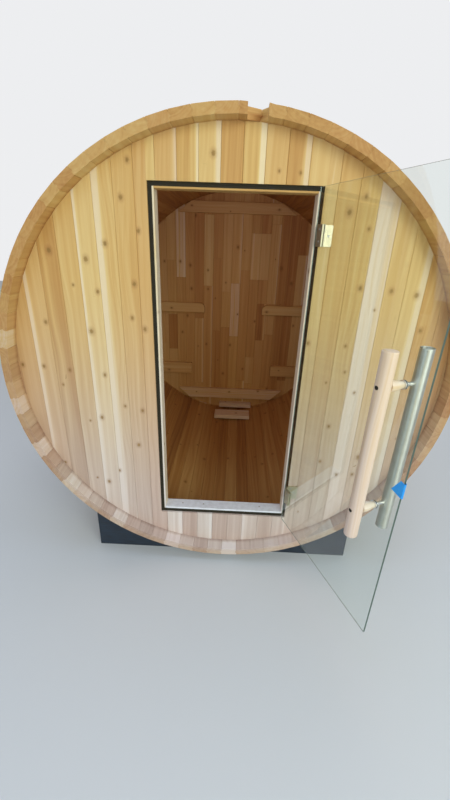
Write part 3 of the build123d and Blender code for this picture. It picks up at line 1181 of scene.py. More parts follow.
@dataclass
class EndWalls:
    """The boarded end walls: the front one in four pieces round the doorway, the back one whole.

    A look is a board's tone and its sapwood. A knot is its place across, its height from the
    barrel's axis and its radius in mm. A short board is its place across, the heights of its ends
    above the floor and its tone.
    """

    radius: float = 1.0375
    rim_gap: float = 0.002
    pitch: float = 0.087
    joint: float = 0.0006
    ease: float = 0.0018
    end_ease: float = 0.0006
    tongue_radius: float = 0.006
    column: float = 0.0145
    ring_pitch: float = 0.02
    knot_spacing: float = 0.5
    left_first: float = -1.020
    door_first: float = -0.324
    back_first: float = -0.987
    right_seams: tuple[float, ...] = (0.409, 0.496, 0.580, 0.667, 0.755, 0.842, 0.929, 1.016)
    left_looks: tuple[Pair, ...] = (
        (0.40, 0.0), (0.50, 0.0), (0.58, -0.3), (0.40, 0.0), (0.56, 0.0), (0.68, -0.24), (0.56, -0.42),
        (0.54, 0.0), (0.60, 0.0))
    right_looks: tuple[Pair, ...] = (
        (0.66, 0.0), (0.50, 0.0), (0.54, 0.0), (0.96, 0.0), (0.62, 0.0), (0.60, 0.4), (0.48, 0.0),
        (0.38, 0.0), (0.36, 0.0))
    over_looks: tuple[Pair, ...] = (
        (0.62, 0.0), (0.60, 0.25), (0.40, 0.22), (0.64, 0.3), (0.42, 0.0), (0.46, 0.35), (0.60, 0.0),
        (0.42, 0.3), (0.62, 0.0))
    under_looks: tuple[Pair, ...] = (
        (0.60, 0.0), (0.72, 0.3), (0.50, 0.0), (0.66, 0.3), (0.48, 0.0), (0.52, 0.0), (0.62, -0.3),
        (0.54, 0.0), (0.60, 0.2))
    knots: tuple[Triple, ...] = (
        (-0.795, 0.550, 8), (-0.638, 0.520, 8), (-0.548, 0.585, 7), (-0.600, 0.385, 6), (-0.467, 0.760, 7),
        (-0.431, 0.890, 6), (-0.433, 0.424, 7), (-0.402, 0.638, 6), (-0.649, 0.204, 8), (-0.452, 0.274, 6),
        (-0.396, 0.224, 7), (-0.607, -0.010, 6), (-0.645, -0.244, 7), (-0.580, -0.566, 6),
        (-0.645, -0.643, 7), (-0.859, 0.239, 6), (-0.904, 0.022, 6), (-0.778, 0.008, 5),
        (-0.822, -0.070, 4), (-0.708, 0.410, 4), (-0.708, -0.265, 4), (-0.708, -0.620, 4),
        (-0.463, -0.398, 7), (-0.519, -0.174, 5), (-0.431, -0.195, 6), (-0.876, -0.528, 5),
        (-1.008, 0.026, 6), (-0.092, 0.921, 7), (0.167, 0.869, 4), (0.251, 0.865, 4), (0.556, 0.676, 5),
        (0.563, 0.442, 7), (0.524, 0.792, 6), (0.541, 0.183, 5), (0.525, -0.237, 6), (0.510, -0.447, 5),
        (0.367, 0.190, 6), (0.699, 0.435, 7), (0.705, -0.412, 9), (0.692, -0.520, 6), (0.811, 0.421, 8),
        (0.790, 0.050, 4), (0.838, -0.640, 6), (0.559, 0.057, 4))
    short_boards: tuple[tuple[float, float, float, float], ...] = (
        (-0.68, 0.78, 1.16, 0.60), (-0.68, 1.16, 1.90, 0.64), (-0.59, 0.72, 1.07, 0.28),
        (-0.59, 1.57, 1.96, 0.56), (-0.51, 1.42, 2.04, 0.82), (-0.33, 0.36, 1.04, 0.52),
        (-0.25, 1.35, 1.96, 0.70), (-0.16, 0.20, 0.92, 0.36), (-0.16, 1.60, 2.00, 0.46),
        (-0.07, 0.20, 0.96, 0.40), (-0.07, 1.30, 2.05, 0.66), (0.01, 0.87, 1.38, 0.84),
        (0.01, 1.38, 2.00, 0.58), (0.10, 0.40, 1.50, 0.50), (0.19, 1.42, 1.82, 0.70),
        (0.19, 1.82, 2.05, 0.38), (0.19, 0.37, 0.66, 0.66), (0.27, 0.84, 1.20, 0.22),
        (0.27, 1.42, 1.82, 0.64), (0.27, 1.82, 2.05, 0.36), (0.36, 0.90, 1.10, 0.60),
        (0.36, 1.20, 1.90, 0.58), (0.45, 0.30, 2.00, 0.30), (0.54, 0.42, 1.98, 0.28),
        (0.62, 1.20, 1.65, 0.58), (0.62, 1.65, 1.95, 0.26))
    back_knots: tuple[Triple, ...] = (
        (0.63, 0.84, 8), (0.54, 0.28, 9), (0.02, 0.58, 8), (-0.37, 0.83, 8), (-0.42, 0.41, 8),
        (-0.41, 0.20, 8), (-0.25, 0.20, 6), (-0.45, -0.06, 8), (-0.02, -0.34, 8), (0.12, -0.59, 6),
        (0.60, -0.12, 6), (-0.26, -0.34, 6))
    filler_tones: Pair = (0.40, 0.56)
    palest_with_sap: float = 0.6
    rng: np.random.Generator = field(default_factory=partial(np.random.default_rng, 21))

    def row(self, first: float, count: int) -> list[float]:
        """Return evenly pitched seams, to the millimetre."""
        return [round(first + self.pitch * step, 3) for step in range(count)]

    def columns(self, seams: Sequence[float]) -> Iterator[tuple[Pair, tuple[Edge, Edge]]]:
        """Go through a wall's columns of boards.

        Args:
            seams: the joints from left to right, with both outer edges.

        Yields:
            A column's sides, and how they are worked: square outermost, grooved or tongued between.
        """
        for left, right in zip(seams[:-1], seams[1:]):
            yield (left, right), (Edge.SQUARE if left == seams[0] else Edge.GROOVE,
                                  Edge.SQUARE if right == seams[-1] else Edge.TONGUE)

    def board(self, column: tuple[Pair, tuple[Edge, Edge]], ends: tuple[Curve, Curve], look: Pair,
              wall: float, knots: Sequence[Triple], end_ease: float = 0.0) -> Surface:
        """Build one upright board of a wall.

        Args:
            column: its sides, and how they are worked.
            ends: its lower and upper ends' curves.
            look: its tone and sapwood.
            wall: where its face lies front to back.
            knots: the wall's knots as place across, height from the axis and radius in mm.
            end_ease: how much its ends are eased.

        Returns:
            The board as one closed solid.
        """
        (left, right), edges = column
        gaps = [0.0 if edge is Edge.SQUARE else self.joint / 2 for edge in edges]
        section = Section(left + gaps[0], right - gaps[1], WALL_THICK, left_edge=edges[0],
                          right_edge=edges[1], ease=self.ease, column=self.column,
                          tongue_radius=self.tongue_radius, joint_gap=self.joint)
        middle = (left + right) / 2
        low, high = (float(curve(np.array([middle]))[0]) for curve in ends)
        given = np.array([(x, AXIS_Z + z, r / 1000) for x, z, r in knots
                          if left < x < right and low < AXIS_Z + z < high])
        if not len(given):
            given = scattered_knots(self.rng, (left, right), (low, high), self.knot_spacing)
        board = Board(section, *ends, self.rng.uniform(), *look, given, pitch=self.ring_pitch,
                      end_ease=end_ease, centre=(middle, AXIS_Z), depth=wall + WALL_THICK / 2)
        return board.surface(UPRIGHT)

    def front(self, seams: Sequence[float], looks: Sequence[Pair], ends: tuple[Curve, Curve]) -> Surface:
        """Build one piece of the front wall, a run of boards side by side.

        Args:
            seams: the joints from left to right, with both outer edges.
            looks: each board's tone and sapwood.
            ends: the lower and upper ends' curves.

        Returns:
            All its boards.
        """
        return Surface.joined([self.board(column, ends, look, Y_WALL, self.knots)
                               for column, look in zip(self.columns(seams), looks)])

    def back(self, seams: Sequence[float], ends: tuple[Curve, Curve]) -> Surface:
        """Build the back wall, whose columns are made up of short boards that butt end to end.

        Args:
            seams: the joints between columns, with both outer edges.
            ends: the lower and upper ends' curves.

        Returns:
            All its boards.
        """
        boards = []
        for column in self.columns(seams):
            left, right = column[0]
            runs = sorted((a, b, tone) for x, a, b, tone in self.short_boards if left < x < right)
            joints = sorted({level for a, b, _ in runs for level in (a, b)})
            starts = [ends[0], *(level_curve(level + self.joint / 2) for level in joints)]
            stops = [*(level_curve(level - self.joint / 2) for level in joints), ends[1]]
            for start, stop, bottom in zip(starts, stops, [0.0, *joints]):
                filler = self.rng.uniform(*self.filler_tones)
                tone = next((tone for a, _, tone in runs if a == bottom), filler)
                look = (tone, self.rng.choice([0.0, 0.0, 0.0, 0.2]) if tone < self.palest_with_sap else 0.0)
                boards.append(self.board(column, (start, stop), look, Y_BACK_WALL, self.back_knots,
                                         self.end_ease))
        return Surface.joined(boards)

    def build(self) -> None:
        """Build the front wall's four pieces and the back wall."""
        low, high = round_curve(self.radius, -1), round_curve(self.radius, 1)
        rim = self.radius - self.rim_gap
        middle = [-DOOR_X, *self.row(self.door_first, 8), DOOR_X]
        walls = (
            ("left", [-rim, *self.row(self.left_first, 8), -DOOR_X], self.left_looks, (low, high)),
            ("right", [DOOR_X, *self.right_seams, rim], self.right_looks, (low, high)),
            ("over_door", middle, self.over_looks, (level_curve(DOOR_HIGH), high)),
            ("under_door", middle, self.under_looks, (low, level_curve(DOOR_LOW))))
        for name, seams, looks, ends in walls:
            add_piece(f"front_boards_{name}", self.front(seams, looks, ends), Finish.CEDAR, "barrel",
                      [f"front_wall_{name}"])
        back = self.back([-rim, *self.row(self.back_first, 23), rim], (low, high))
        add_piece("back_boards", back, Finish.CEDAR, "barrel", ["back_wall"])


@dataclass
class DoorFrame:
    """Jambs, head and sill in the doorway, with the seal and the bright plate on the sill.

    The seal's profile is in shares of its width and thickness.
    """

    jamb: float = 0.025
    depth: float = 0.070
    front: float = Y_WALL + 0.014
    knot_spacing: float = 0.6
    seal_width: float = 0.017
    seal_thickness: float = 0.004
    seal_profile: tuple[Pair, ...] = (
        (0.0, 0.0), (0.0, 0.8), (0.12, 1.0), (0.42, 1.0), (0.48, 0.7), (0.54, 0.7), (0.60, 1.0),
        (0.90, 1.0), (1.0, 0.8), (1.0, 0.0))
    plate: float = 0.003
    plate_ease: float = 0.0012
    lip: float = 0.0015
    lip_gap: float = 0.0005
    lip_ease: float = 0.0003
    screws: Triple = (-0.24, -0.118, 0.21)
    screw_radius: float = 0.0042
    ease: float = 0.0015
    rng: np.random.Generator = field(default_factory=partial(np.random.default_rng, 5))

    def lining(self) -> None:
        """Build the four cedar linings of the doorway."""
        inside, half = DOOR_X - self.jamb, self.jamb / 2
        sides = (self.front, self.front + self.depth)
        section = Section(*sides, self.jamb, ease=self.ease)
        pieces = (
            ("door_jamb_left", JAMBWISE, half - DOOR_X, (DOOR_LOW, DOOR_HIGH), 0.95),
            ("door_jamb_right", JAMBWISE, DOOR_X - half, (DOOR_LOW, DOOR_HIGH), 0.95),
            ("door_head", FLAT, DOOR_HIGH - half, (-inside, inside), 0.42),
            ("door_sill", FLAT, DOOR_LOW + half, (-inside, inside), 0.7))
        for name, placement, depth, ends, tone in pieces:
            board = Board(section, *map(level_curve, ends), self.rng.uniform(), tone, 0.0,
                          scattered_knots(self.rng, sides, ends, self.knot_spacing),
                          centre=(self.front + self.depth / 2, 0.0), depth=depth)
            add_piece(f"cedar_{name}", board.surface(placement), Finish.CEDAR, "barrel",
                      [name])

    def seal(self) -> None:
        """Build the rubber seal: a low bulb section carried round the doorway with mitred corners.

        Each ring is the section, its offset from the doorway's edge added to the corner along
        both sides, so the corners meet at a mitre.
        """
        offset, proud = np.array(self.seal_profile).T * [[self.seal_width], [self.seal_thickness]]
        corners = np.array([(-1, -1), (1, -1), (1, 1), (-1, 1)])
        half = np.array([DOOR_X, (DOOR_HIGH - DOOR_LOW) / 2])
        flat = corners[:, None, :] * (half[None, None, :] - offset[None, :, None])
        depth = np.broadcast_to(self.front - proud[None, :], flat.shape[:2])
        middle = (DOOR_HIGH + DOOR_LOW) / 2
        points = np.stack([flat[..., 0], depth, flat[..., 1] + middle], axis=-1).reshape(-1, 3)
        count = len(offset)
        row = np.arange(4)[:, None] * count
        here = np.arange(count)[None, :]
        after = (here + 1) % count
        following = (row + count) % (4 * count)
        quads = np.stack([row + here, row + after, following + after, following + here], axis=-1)
        surface = Surface.bare(points, quads.reshape(-1, 4))
        add_piece("rubber_door_seal", surface, Finish.RUBBER, "barrel", ["door_seal"])

    def sill_plate(self) -> None:
        """Build the sill's plate: a flat strip with a lip down its front, held by three screws."""
        low = DOOR_LOW + self.jamb
        top = low + self.plate
        ends = level_curve(self.jamb - DOOR_X), level_curve(DOOR_X - self.jamb)
        strip = Section(self.front, self.front + self.depth, self.plate, ease=self.plate_ease)
        lip = Section(DOOR_LOW + self.seal_width + self.lip_gap, top, self.lip, ease=self.lip_ease)
        parts = [
            Board(strip, *ends, 0.1, pitch=0.3, depth=low + self.plate / 2).surface(FLAT),
            Board(lip, *ends, 0.2, pitch=0.3, depth=self.front - self.lip / 2).surface(ON_EDGE)]
        add_piece("aluminium_sill_plate", Surface.joined(parts), Finish.ANODISED, "barrel",
                  ["threshold_plate"])
        heads = [screw_head(self.screw_radius, (x, self.front + self.depth / 2, top), (0, 0, 1))
                 for x in self.screws]
        add_piece("sill_plate_screws", Surface.joined(heads), Finish.ZINC, "barrel")

    def build(self) -> None:
        """Build the frame."""
        self.lining()
        self.seal()
        self.sill_plate()


@dataclass
class GlassDoor:
    """The open leaf: glass, hinges, a wooden bar inside and a steel one outside.

    Profiles are rows of a radius and a place along the piece; the boss's places are shares of the
    run from the glass to the bar. Screws are places out from the pin and up from the hinge's level.
    """

    pin: Pair = (0.3495, -0.061)
    glass_middle: float = -0.047
    glass_half: float = 0.004
    leaf_end: float = 0.698
    bar_reach: float = 0.600
    bar_level: float = 1.0945
    bar_length: float = 0.702
    bolt_spacing: float = 0.470
    wood_diameter: float = 0.050
    wood_offset: float = 0.084
    wood_ease: float = 0.003
    wood_ease_middle: float = 0.0008
    wood_run_inset: float = 0.03
    wood_rings: int = 28
    wood_look: Triple = (0.3655, 0.93, 0.0)
    wood_knots: tuple[Triple, ...] = ((-0.012, -0.02, 0.005), (0.008, 0.11, 0.004), (-0.004, -0.27, 0.004))
    boss_foot: tuple[Pair, ...] = ((0.001, 0.0), (0.0105, 0.0), (0.0119, 0.0014))
    boss_profile: tuple[Pair, ...] = (
        (0.0138, 0.25), (0.0162, 0.42), (0.0177, 0.58), (0.018, 0.68), (0.018, 1.0), (0.001, 1.0))
    boss_overlap: float = 0.002
    washer: float = 0.002
    plug_profile: tuple[Pair, ...] = ((0.0072, -0.001), (0.0078, 0.0002), (0.0066, 0.0015), (0.0006, 0.0018))
    plug_sink: float = 0.0012
    steel_diameter: float = 0.045
    steel_offset: float = 0.066
    tube_wall: float = 0.002
    cap_depth: float = 0.012
    tube_ease: float = 0.0006
    hinge_inset: float = 0.180
    hinge_plate: float = 0.005
    hinge_ease: float = 0.0008
    rod_ease: float = 0.0006
    clamp_plate: float = 0.008
    clamp_screws: Pair = (0.040, 0.022)
    wall_screws: tuple[Pair, ...] = ((0.022, 0.026), (0.022, -0.026), (0.044, 0.0))
    screw_radii: Pair = (0.0046, 0.0048)
    tape_thickness: float = 0.0003
    tape_start: float = 0.655
    tape_uneven: float = 0.014
    tape_lean: float = 0.030
    tape_width: float = 0.058
    tape_level: float = 0.970
    tape_drop: float = 0.2
    tape_loop: float = 0.005
    tape_edge: float = 0.001
    tape_smooth: float = 60.0
    wrinkle: float = 0.0002

    def on_leaf(self, reach: float, proud: float, level: float) -> Placement:
        """Place a piece on the open leaf.

        Args:
            reach: distance from the pin along the leaf.
            proud: distance from the middle of the glass, positive towards the room when shut.
            level: height above the floor.

        Returns:
            A placement whose across runs back to the pin, through points to the room side and
            along points up.
        """
        way = math.radians(OPEN_ANGLE)
        turn = np.array([[math.cos(way), -math.sin(way)], [math.sin(way), math.cos(way)]])
        spot = np.array(self.pin) + turn @ np.array([-reach, self.glass_middle - self.pin[1] + proud])
        across, through = turn @ np.array([1.0, 0.0]), turn @ np.array([0.0, 1.0])
        return Placement((*spot, level), (*across, 0.0), (*through, 0.0), (0.0, 0.0, 1.0))

    def wooden_bar(self) -> None:
        """Build the turned cedar bar, its ends eased."""
        half, radius = self.bar_length / 2, self.wood_diameter / 2
        end = [(radius * 0.1, half), *((radius - side, half - rise) for side, rise in (
            (self.wood_ease, 0.0), (self.wood_ease_middle, self.wood_ease_middle), (0.0, self.wood_ease)))]
        run = np.linspace(self.wood_run_inset - half, half - self.wood_run_inset, self.wood_rings)
        profile = [*((r, -z) for r, z in end), *((radius, z) for z in run), *reversed(end)]
        bar = turned(profile, self.on_leaf(self.bar_reach, self.wood_offset, self.bar_level), 40,
                     self.wood_look, np.array(self.wood_knots))
        add_piece("turned_cedar_bar", bar, Finish.CEDAR, "door", ["handle_inner_bar"])

    def steel_bar(self) -> None:
        """Build the steel tube, closed a little way inside its open ends."""
        half, radius = self.bar_length / 2, self.steel_diameter / 2
        bore, ease = radius - self.tube_wall, self.tube_ease
        profile = [(bore * 0.05, self.cap_depth - half), (bore, self.cap_depth - half), (bore, ease - half),
                   (bore + ease, -half), (radius - ease, -half), (radius, ease - half)]
        profile += [(r, -z) for r, z in reversed(profile)]
        bar = turned(profile, self.on_leaf(self.bar_reach, -self.steel_offset, self.bar_level), 48)
        add_piece("satin_steel_bar", bar, Finish.SATIN_STEEL, "door", ["handle_outer_bar"])

    def on_bolt(self, side: int, proud: float) -> Placement:
        """Place a piece on a bolt of the bars, its along through the glass."""
        level = self.bar_level + side * self.bolt_spacing / 2
        return self.on_leaf(self.bar_reach, proud, level).rolled()

    def plugs(self) -> None:
        """Build the dark plugs in the wooden bar, over the ends of the rods."""
        proud = self.wood_offset + self.wood_diameter / 2 - self.plug_sink
        parts = [turned(self.plug_profile, self.on_bolt(side, proud), 20) for side in (-1, 1)]
        add_piece("bar_plugs", Surface.joined(parts), Finish.RUBBER, "door")

    def bosses(self) -> None:
        """Build the turned bosses, straight behind the bar and tapered towards the glass."""
        start = self.glass_half + self.washer
        run = self.wood_offset - self.wood_diameter / 2 + self.boss_overlap - start
        profile = [*((radius, start + rise) for radius, rise in self.boss_foot),
                   *((radius, start + run * share) for radius, share in self.boss_profile)]
        for name, side in (("lower", -1), ("upper", 1)):
            boss = turned(profile, self.on_bolt(side, 0.0), 32, (0.61 + side * 0.1, 0.9, 0.0))
            add_piece(f"turned_cedar_boss_{name}", boss, Finish.CEDAR, "door",
                      [f"handle_boss_{name}"])

    def tape(self) -> None:
        """Build the strip of blue tape that is folded over the leaf's free edge.

        Its path runs out along the room side, round the edge in a loose loop and back along the
        outside. Each ring is the strip's width, front then back. Its ends lean with the width and
        it drops a little towards the edge; small sine waves across it are its wrinkles.
        """
        face = self.glass_half + self.tape_thickness
        run = np.linspace(0.0, 1.0, 8)[:, None]
        bend = np.radians(np.linspace(-80, 80, 9))[:, None]
        width = np.linspace(0.0, 1.0, 13)[None, :]
        start, edge = self.tape_start + self.tape_lean * width, self.leaf_end - self.tape_edge
        loop = self.leaf_end + self.tape_edge + self.tape_loop * np.cos(bend)
        reach = np.concatenate([
            start * (1 - run) + edge * run,
            np.broadcast_to(loop, (len(bend), width.size)),
            edge * (1 - run) + (start + self.tape_uneven) * run])
        proud = np.concatenate([np.full_like(run, face), -face * np.sin(bend), np.full_like(run, -face)])
        row = np.arange(len(proud))[:, None]
        waves = 1 + np.sin(14.0 * width + 1.7 * row) * np.sin(0.9 * row)
        proud = proud + self.wrinkle * np.sign(proud) * waves
        rise = self.tape_level + self.tape_width * width - self.tape_drop * (reach - self.tape_start)
        way = np.stack([np.gradient(reach, axis=0), np.gradient(proud, axis=0)], axis=-1)
        normal = np.stack([-way[..., 1], way[..., 0]], axis=-1) / np.linalg.norm(way, axis=-1, keepdims=True)
        outer = np.stack([reach, proud], axis=-1)
        inner = outer - normal * self.tape_thickness
        outer, inner = (np.concatenate([side, rise[..., None]], axis=-1) for side in (outer, inner))
        rings = np.concatenate([outer, inner[:, ::-1]], axis=1).reshape(-1, 3)
        points = self.on_leaf(0.0, 0.0, 0.0).apply(rings * (-1.0, 1.0, 1.0))
        surface = Surface.bare(points, ring_quads(len(proud), 2 * width.size), self.tape_smooth)
        add_piece("folded_tape", surface, Finish.CREPE, "door")

    def hinge_screws(self) -> None:
        """Build the screws that hold the hinges to the wall and clamp the glass."""
        on_wall, on_glass = self.screw_radii
        levels = (DOOR_LOW + self.hinge_inset, DOOR_HIGH - self.hinge_inset)
        heads = [screw_head(on_wall, (self.pin[0] + x, Y_WALL - self.hinge_plate, level + z), (0, -1, 0))
                 for level in levels for x, z in self.wall_screws]
        add_piece("hinge_wall_screws", Surface.joined(heads), Finish.ZINC, "barrel")
        reach, rise = self.clamp_screws
        seats = [self.on_leaf(reach, self.glass_half + self.clamp_plate, level + side * rise)
                 for level in levels for side in (-1, 1)]
        heads = [screw_head(on_glass, seat.origin, seat.through) for seat in seats]
        add_piece("hinge_clamp_screws", Surface.joined(heads), Finish.ZINC, "door")

    def build(self) -> None:
        """Build the leaf's pieces and dress the CAD ones."""
        dress("door_glass", Finish.GLASS)
        for make in (self.wooden_bar, self.bosses, self.steel_bar, self.plugs, self.tape, self.hinge_screws):
            make()
        for name in ("lower", "upper"):
            eased_copy(f"hinge_plate_{name}", Finish.NICKEL, "barrel", self.hinge_ease)
            eased_copy(f"hinge_clamp_{name}", Finish.NICKEL, "door", self.hinge_ease)
            eased_copy(f"handle_rod_{name}", Finish.CHROME, "door", self.rod_ease)


@dataclass
class Supports:
    """The dark cradles and the two steel bands."""

    width: float = 1.490
    height: float = 0.235
    thickness: float = 0.076
    barrel_radius: float = 1.0653
    places: Pair = (0.0, 1.878)
    ease: float = 0.003
    end_ease: float = 0.002

    def saddle(self, across: np.ndarray) -> np.ndarray:
        """Return the lesser of the board's top edge and the barrel's underside."""
        return np.minimum(round_curve(self.barrel_radius, -1)(across), self.height)

    def cradle(self, middle: float) -> Surface:
        """Build one cradle: a board on edge whose top follows the barrel's round.

        Args:
            middle: where its thickness is centred.

        Returns:
            The cradle as one closed solid.
        """
        section = Section(-self.width / 2, self.width / 2, self.thickness, ease=self.ease, column=0.012)
        return Board(section, level_curve(0.0), self.saddle, 0.3, depth=middle,
                     end_ease=self.end_ease).surface(UPRIGHT)

    def build(self) -> None:
        """Build both cradles and dress the bands."""
        for name, place in zip(("front", "rear"), self.places):
            add_piece(f"stained_cradle_{name}", self.cradle(place), Finish.STAIN, "barrel",
                      [f"cradle_{name}"])
        dress("tightening_bands", Finish.ROLLED_STRIP)


@dataclass
class Fittings:
    """The batten, rails, bearer and loose boards at the back of the room.

    A loose floor board is its middle, its length, its width and its gap to the wall.
    """

    thickness: float = 0.038
    wall: float = Y_BACK_WALL
    radius: float = 1.02587
    batten_height: float = 0.092
    batten_top_gap: float = 0.082
    batten_end_gap: float = 0.049
    backrest_level: float = -0.020
    backrest_height: float = 0.090
    backrest_inner: float = 0.279
    backrest_corner: float = 0.045
    bench_height: float = 0.110
    bench_inner: float = 0.406
    bench_bearer_gap: float = 0.162
    bearer_height: float = 0.104
    bearer_widths: Pair = (0.854, 1.078)
    bearer_end_gap: float = 0.018
    floor_boards: tuple[tuple[float, float, float, float], ...] = (
        (0.030, 0.350, 0.140, 0.210), (0.059, 0.336, 0.083, 0.0))
    floor_tone: float = 0.95
    floor_end_ease: float = 0.002
    batten_tone: float = 0.66
    # The bearer's tone is partly its own and partly painted light: it is made paler so that it stands out
    # from the wall as a lit board.
    bearer_tone_and_light: float = 0.82
    rail_tones: Pair = (0.58, 0.62)
    ease: float = 0.003
    end_ease: float = 0.0015
    knot_spacing: float = 0.3
    sharp: float = 0.0001
    rng: np.random.Generator = field(default_factory=partial(np.random.default_rng, 3))

    def half_width(self, level: float) -> float:
        """Return half the room's width at a level above the axis."""
        return math.sqrt(self.radius ** 2 - level ** 2)

    def cross_board(self, name: str, level: float, height: float, ends: tuple[Curve, Curve],
                    tone: float) -> None:
        """Build a board on edge against the back wall.

        Args:
            name: the CAD node that it stands for.
            level: its lower edge, from the barrel's axis.
            height: its height.
            ends: its left and right ends' curves, from its height above the floor.
            tone: how pale it is.
        """
        low = AXIS_Z + level
        middle = low + height / 2
        section = Section(low, low + height, self.thickness, ease=self.ease, column=0.006)
        reach = tuple(float(curve(np.array([middle]))[0]) for curve in ends)
        knots = scattered_knots(self.rng, (low, low + height), reach, self.knot_spacing)
        board = Board(section, *ends, self.rng.uniform(), tone, 0.0, knots, end_ease=self.end_ease,
                      centre=(middle, 0.0), depth=self.wall - self.thickness / 2)
        add_piece(f"cedar_{name}", board.surface(ON_EDGE), Finish.CEDAR, "barrel", [name])

    def slopes(self, level: float, height: float, bottom: float, top: float) -> tuple[Curve, Curve]:
        """Work out the straight lines of a board's sloped ends.

        Args:
            level: its lower edge, from the barrel's axis.
            height: its height.
            bottom: half its width at the bottom.
            top: half its width at the top.

        Returns:
            The left end's curve and the right end's.
        """
        low = AXIS_Z + level
        right = partial(np.interp, xp=(low, low + height), fp=(bottom, top))
        return mirrored(right), right

    def rails(self, name: str, level: float, height: float, inner: float, corner: float) -> None:
        """Build a pair of rails that run out from near the middle to the staves.

        The inner end is straight up to the corner, then a quarter circle; the outer end is the
        barrel's round.

        Args:
            name: the CAD nodes' name without the side.
            level: the lower edge, from the barrel's axis.
            height: their height.
            inner: how far from the middle they start.
            corner: the radius of the upper inner corner.
        """
        bend = AXIS_Z + level + height - corner

        def near(across: np.ndarray) -> np.ndarray:
            """Return the inner end's place."""
            rise = np.clip(across - bend, 0.0, corner)
            return inner + corner - np.sqrt(corner ** 2 - rise ** 2)

        def far(across: np.ndarray) -> np.ndarray:
            """Return the outer end's place, on the barrel's round."""
            return np.sqrt(self.radius ** 2 - (across - AXIS_Z) ** 2)

        right, left = (near, far), (mirrored(far), mirrored(near))
        for side, ends, tone in zip(("right", "left"), (right, left), self.rail_tones):
            self.cross_board(f"{name}_{side}", level, height, ends, tone)

    def loose_boards(self) -> Surface:
        """Build the two short boards that lie on the lowest staves.

        Returns:
            Both boards.
        """
        boards = []
        for middle, length, width, gap in self.floor_boards:
            ends = (middle - length / 2, middle + length / 2)
            level = AXIS_Z - self.half_width(max(map(abs, ends)))
            sides = (self.wall - gap - width, self.wall - gap)
            seed = self.rng.uniform()
            knots = scattered_knots(self.rng, sides, ends, self.knot_spacing)
            board = Board(Section(*sides, self.thickness, ease=self.ease), *map(level_curve, ends), seed,
                          self.floor_tone, knots=knots, end_ease=self.floor_end_ease,
                          centre=(sides[1] - width / 2, 0.0), depth=level + self.thickness / 2)
            boards.append(board.surface(FLAT))
        return Surface.joined(boards)

    def build(self) -> None:
        """Build the fittings."""
        top = self.radius - self.batten_top_gap
        level = top - self.batten_height
        ends = self.slopes(level, self.batten_height, self.half_width(level) - self.batten_end_gap,
                           self.half_width(top))
        self.cross_board("back_batten", level, self.batten_height, ends, self.batten_tone)
        bottom, wide = self.bearer_widths
        level = -math.sqrt((self.radius - self.bearer_end_gap) ** 2 - (bottom / 2) ** 2)
        ends = self.slopes(level, self.bearer_height, bottom / 2, wide / 2)
        self.cross_board("floor_bearer", level, self.bearer_height, ends, self.bearer_tone_and_light)
        self.rails("backrest_rail", self.backrest_level, self.backrest_height, self.backrest_inner,
                   self.backrest_corner)
        self.rails("bench_rail", level + self.bearer_height + self.bench_bearer_gap, self.bench_height,
                   self.bench_inner, self.sharp)
        add_piece("cedar_floor_boards", self.loose_boards(), Finish.CEDAR, "barrel",
                  ["floor_boards"])


@dataclass(frozen=True)
class Lamp:
    """A soft square lamp: where it hangs, its side, its power in watts, its colour and its aim."""

    name: str
    place: Triple
    size: float
    power: float
    colour: str
    target: Triple = (0.0, 0.0, 1.1)

    def build(self) -> None:
        """Hang the lamp, turned to face its target and out of the camera's sight."""
        data = bpy.data.lights.new(self.name, "AREA")
        data.size = self.size
        data.energy = self.power
        data.color = linear(self.colour)[:3]
        lamp = new_object(self.name, data)
        lamp.location = self.place
        lamp.visible_camera = False
        aim = Vector(self.target) - lamp.location
        lamp.rotation_euler = aim.to_track_quat("-Z", "Y").to_euler()


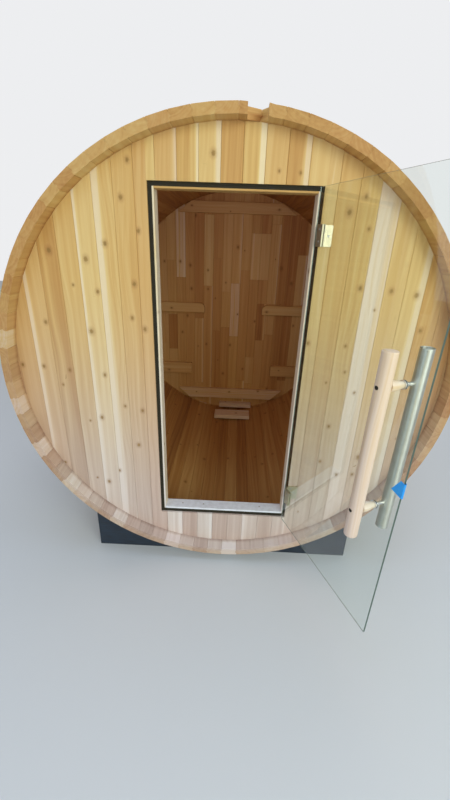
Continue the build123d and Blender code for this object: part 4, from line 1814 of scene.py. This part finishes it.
@dataclass
class Studio:
    """A pale floor, soft light and the camera at the photograph's place."""

    lens: float = 16.226
    place: Triple = (0.0181, -1.7080, 1.7169)
    pitch: float = 23.285
    yaw: float = -1.070
    roll: float = -2.073
    floor_reach: float = 14.0
    floor_colours: tuple[str, str] = ("c8d1dc", "d0d8e2")
    floor_seen: str = "d6dde5"
    ambient: Pair = (0.38, 0.92)
    ambient_colours: tuple[str, str] = ("fffdf8", "f6f7f9")
    room_middle: Triple = (0.0, 1.9, 1.1)

    def camera(self) -> None:
        """Set the camera from its pitch below level, its yaw and its roll.

        The view direction comes from pitch and yaw; the level right-hand and down directions are
        then turned about it by the roll.
        """
        pitch, yaw, roll = (math.radians(angle) for angle in (self.pitch, self.yaw, self.roll))
        ahead = np.array([math.sin(yaw) * math.cos(pitch), math.cos(yaw) * math.cos(pitch), -math.sin(pitch)])
        level = np.array([math.cos(yaw), -math.sin(yaw), 0.0])
        plumb = np.cross(ahead, level)
        right = level * math.cos(roll) + plumb * math.sin(roll)
        down = -level * math.sin(roll) + plumb * math.cos(roll)
        data = bpy.data.cameras.new("camera")
        data.lens = self.lens
        data.sensor_width = 36.0
        data.sensor_fit = "AUTO"
        data.clip_start = 0.02
        data.clip_end = 100.0
        camera = new_object("camera", data)
        turn = np.eye(4)
        turn[:3, 0], turn[:3, 1], turn[:3, 2], turn[:3, 3] = right, -down, -ahead, self.place
        camera.matrix_world = Matrix(turn.tolist())
        bpy.context.scene.camera = camera

    def seen(self, add: Adder) -> Socket:
        """Mask what is seen straight, mirrored or through glass, apart from what lights the object.

        Args:
            add: adds a node.

        Returns:
            One for such a ray, nought for the rest.
        """
        straight, glossy, through = (
            add("LightPath", out=f"Is {kind} Ray") for kind in ("Camera", "Glossy", "Transmission"))
        either = add("Math", straight, glossy, operation="MAXIMUM")
        return add("Math", either, through, operation="MAXIMUM")

    def floor(self) -> None:
        """Lay the pale floor."""
        mesh = bpy.data.meshes.new("floor")
        reach = self.floor_reach
        corners = [(-reach, -reach, 0), (reach, -reach, 0), (reach, reach, 0), (-reach, reach, 0)]
        mesh.from_pydata(corners, [], [(0, 1, 2, 3)])
        material, add = new_material("pale_floor_paint")
        mottle = add("TexNoise", add("TexCoord", out="Object"), named={"Scale": 2.0, "Detail": 3.0})
        dark, pale = map(linear, self.floor_colours)
        colour = add("Mix", named={0: mottle, 6: dark, 7: pale}, **MIX)
        colour = add("Mix", named={0: self.seen(add), 6: colour, 7: linear(self.floor_seen)}, **MIX)
        add("OutputMaterial", add("BsdfPrincipled", named={"Base Color": colour, "Roughness": 0.6}))
        mesh.materials.append(material)
        new_object("floor", mesh)

    def world(self) -> None:
        """Set the world, brighter where it is seen than where it lights the object."""
        world = bpy.data.worlds.new("studio")
        world.use_nodes = True
        world.node_tree.nodes.clear()
        add = partial(add_node, world.node_tree)
        seen = self.seen(add)
        lights, shows = map(linear, self.ambient_colours)
        tint = add("Mix", named={0: seen, 6: lights, 7: shows}, **MIX)
        strength = add("MapRange", seen, 0.0, 1.0, *self.ambient)
        add("OutputWorld", add("Background", tint, strength))
        bpy.context.scene.world = world

    def lamps(self) -> tuple[Lamp, ...]:
        """Choose the lamps: four in front and above, one behind and one in the room.

        Returns:
            The lamps, in the order in which they are hung.
        """
        return (
            Lamp("front_left_softbox", (-2.6, -4.0, 2.6), 3.0, 39.0, "dceaff"),
            Lamp("front_right_softbox", (2.8, -4.2, 2.8), 3.0, 128.0, "fbfff0"),
            Lamp("top_softbox", (0.0, 0.0, 5.0), 3.5, 60.0, "cfe0ff"),
            Lamp("front_fill", (0.0, -6.5, 1.7), 3.0, 46.0, "ffeab0", (0.0, 0.0, 0.7)),
            Lamp("back_softbox", (1.6, 7.0, 3.0), 3.0, 85.0, "fffaf2", self.room_middle),
            Lamp("room_light", (0.0, 0.25, 1.95), 0.4, 2.55, "ffd4dc", self.room_middle))

    def build(self) -> None:
        """Set the world, the floor, the lamps and the camera."""
        bpy.context.scene.view_settings.view_transform = "Standard"
        self.world()
        self.floor()
        for lamp in self.lamps():
            lamp.build()
        self.camera()


def main() -> None:
    """Build every sub-assembly in order."""
    logging.basicConfig(level=logging.INFO, format="%(name)s: %(message)s")
    for part in (Barrel(), EndWalls(), DoorFrame(), GlassDoor(), Supports(), Fittings(), Studio()):
        part.build()
        LOG.info("%s done", type(part).__name__)


if __name__ == "__main__":
    main()
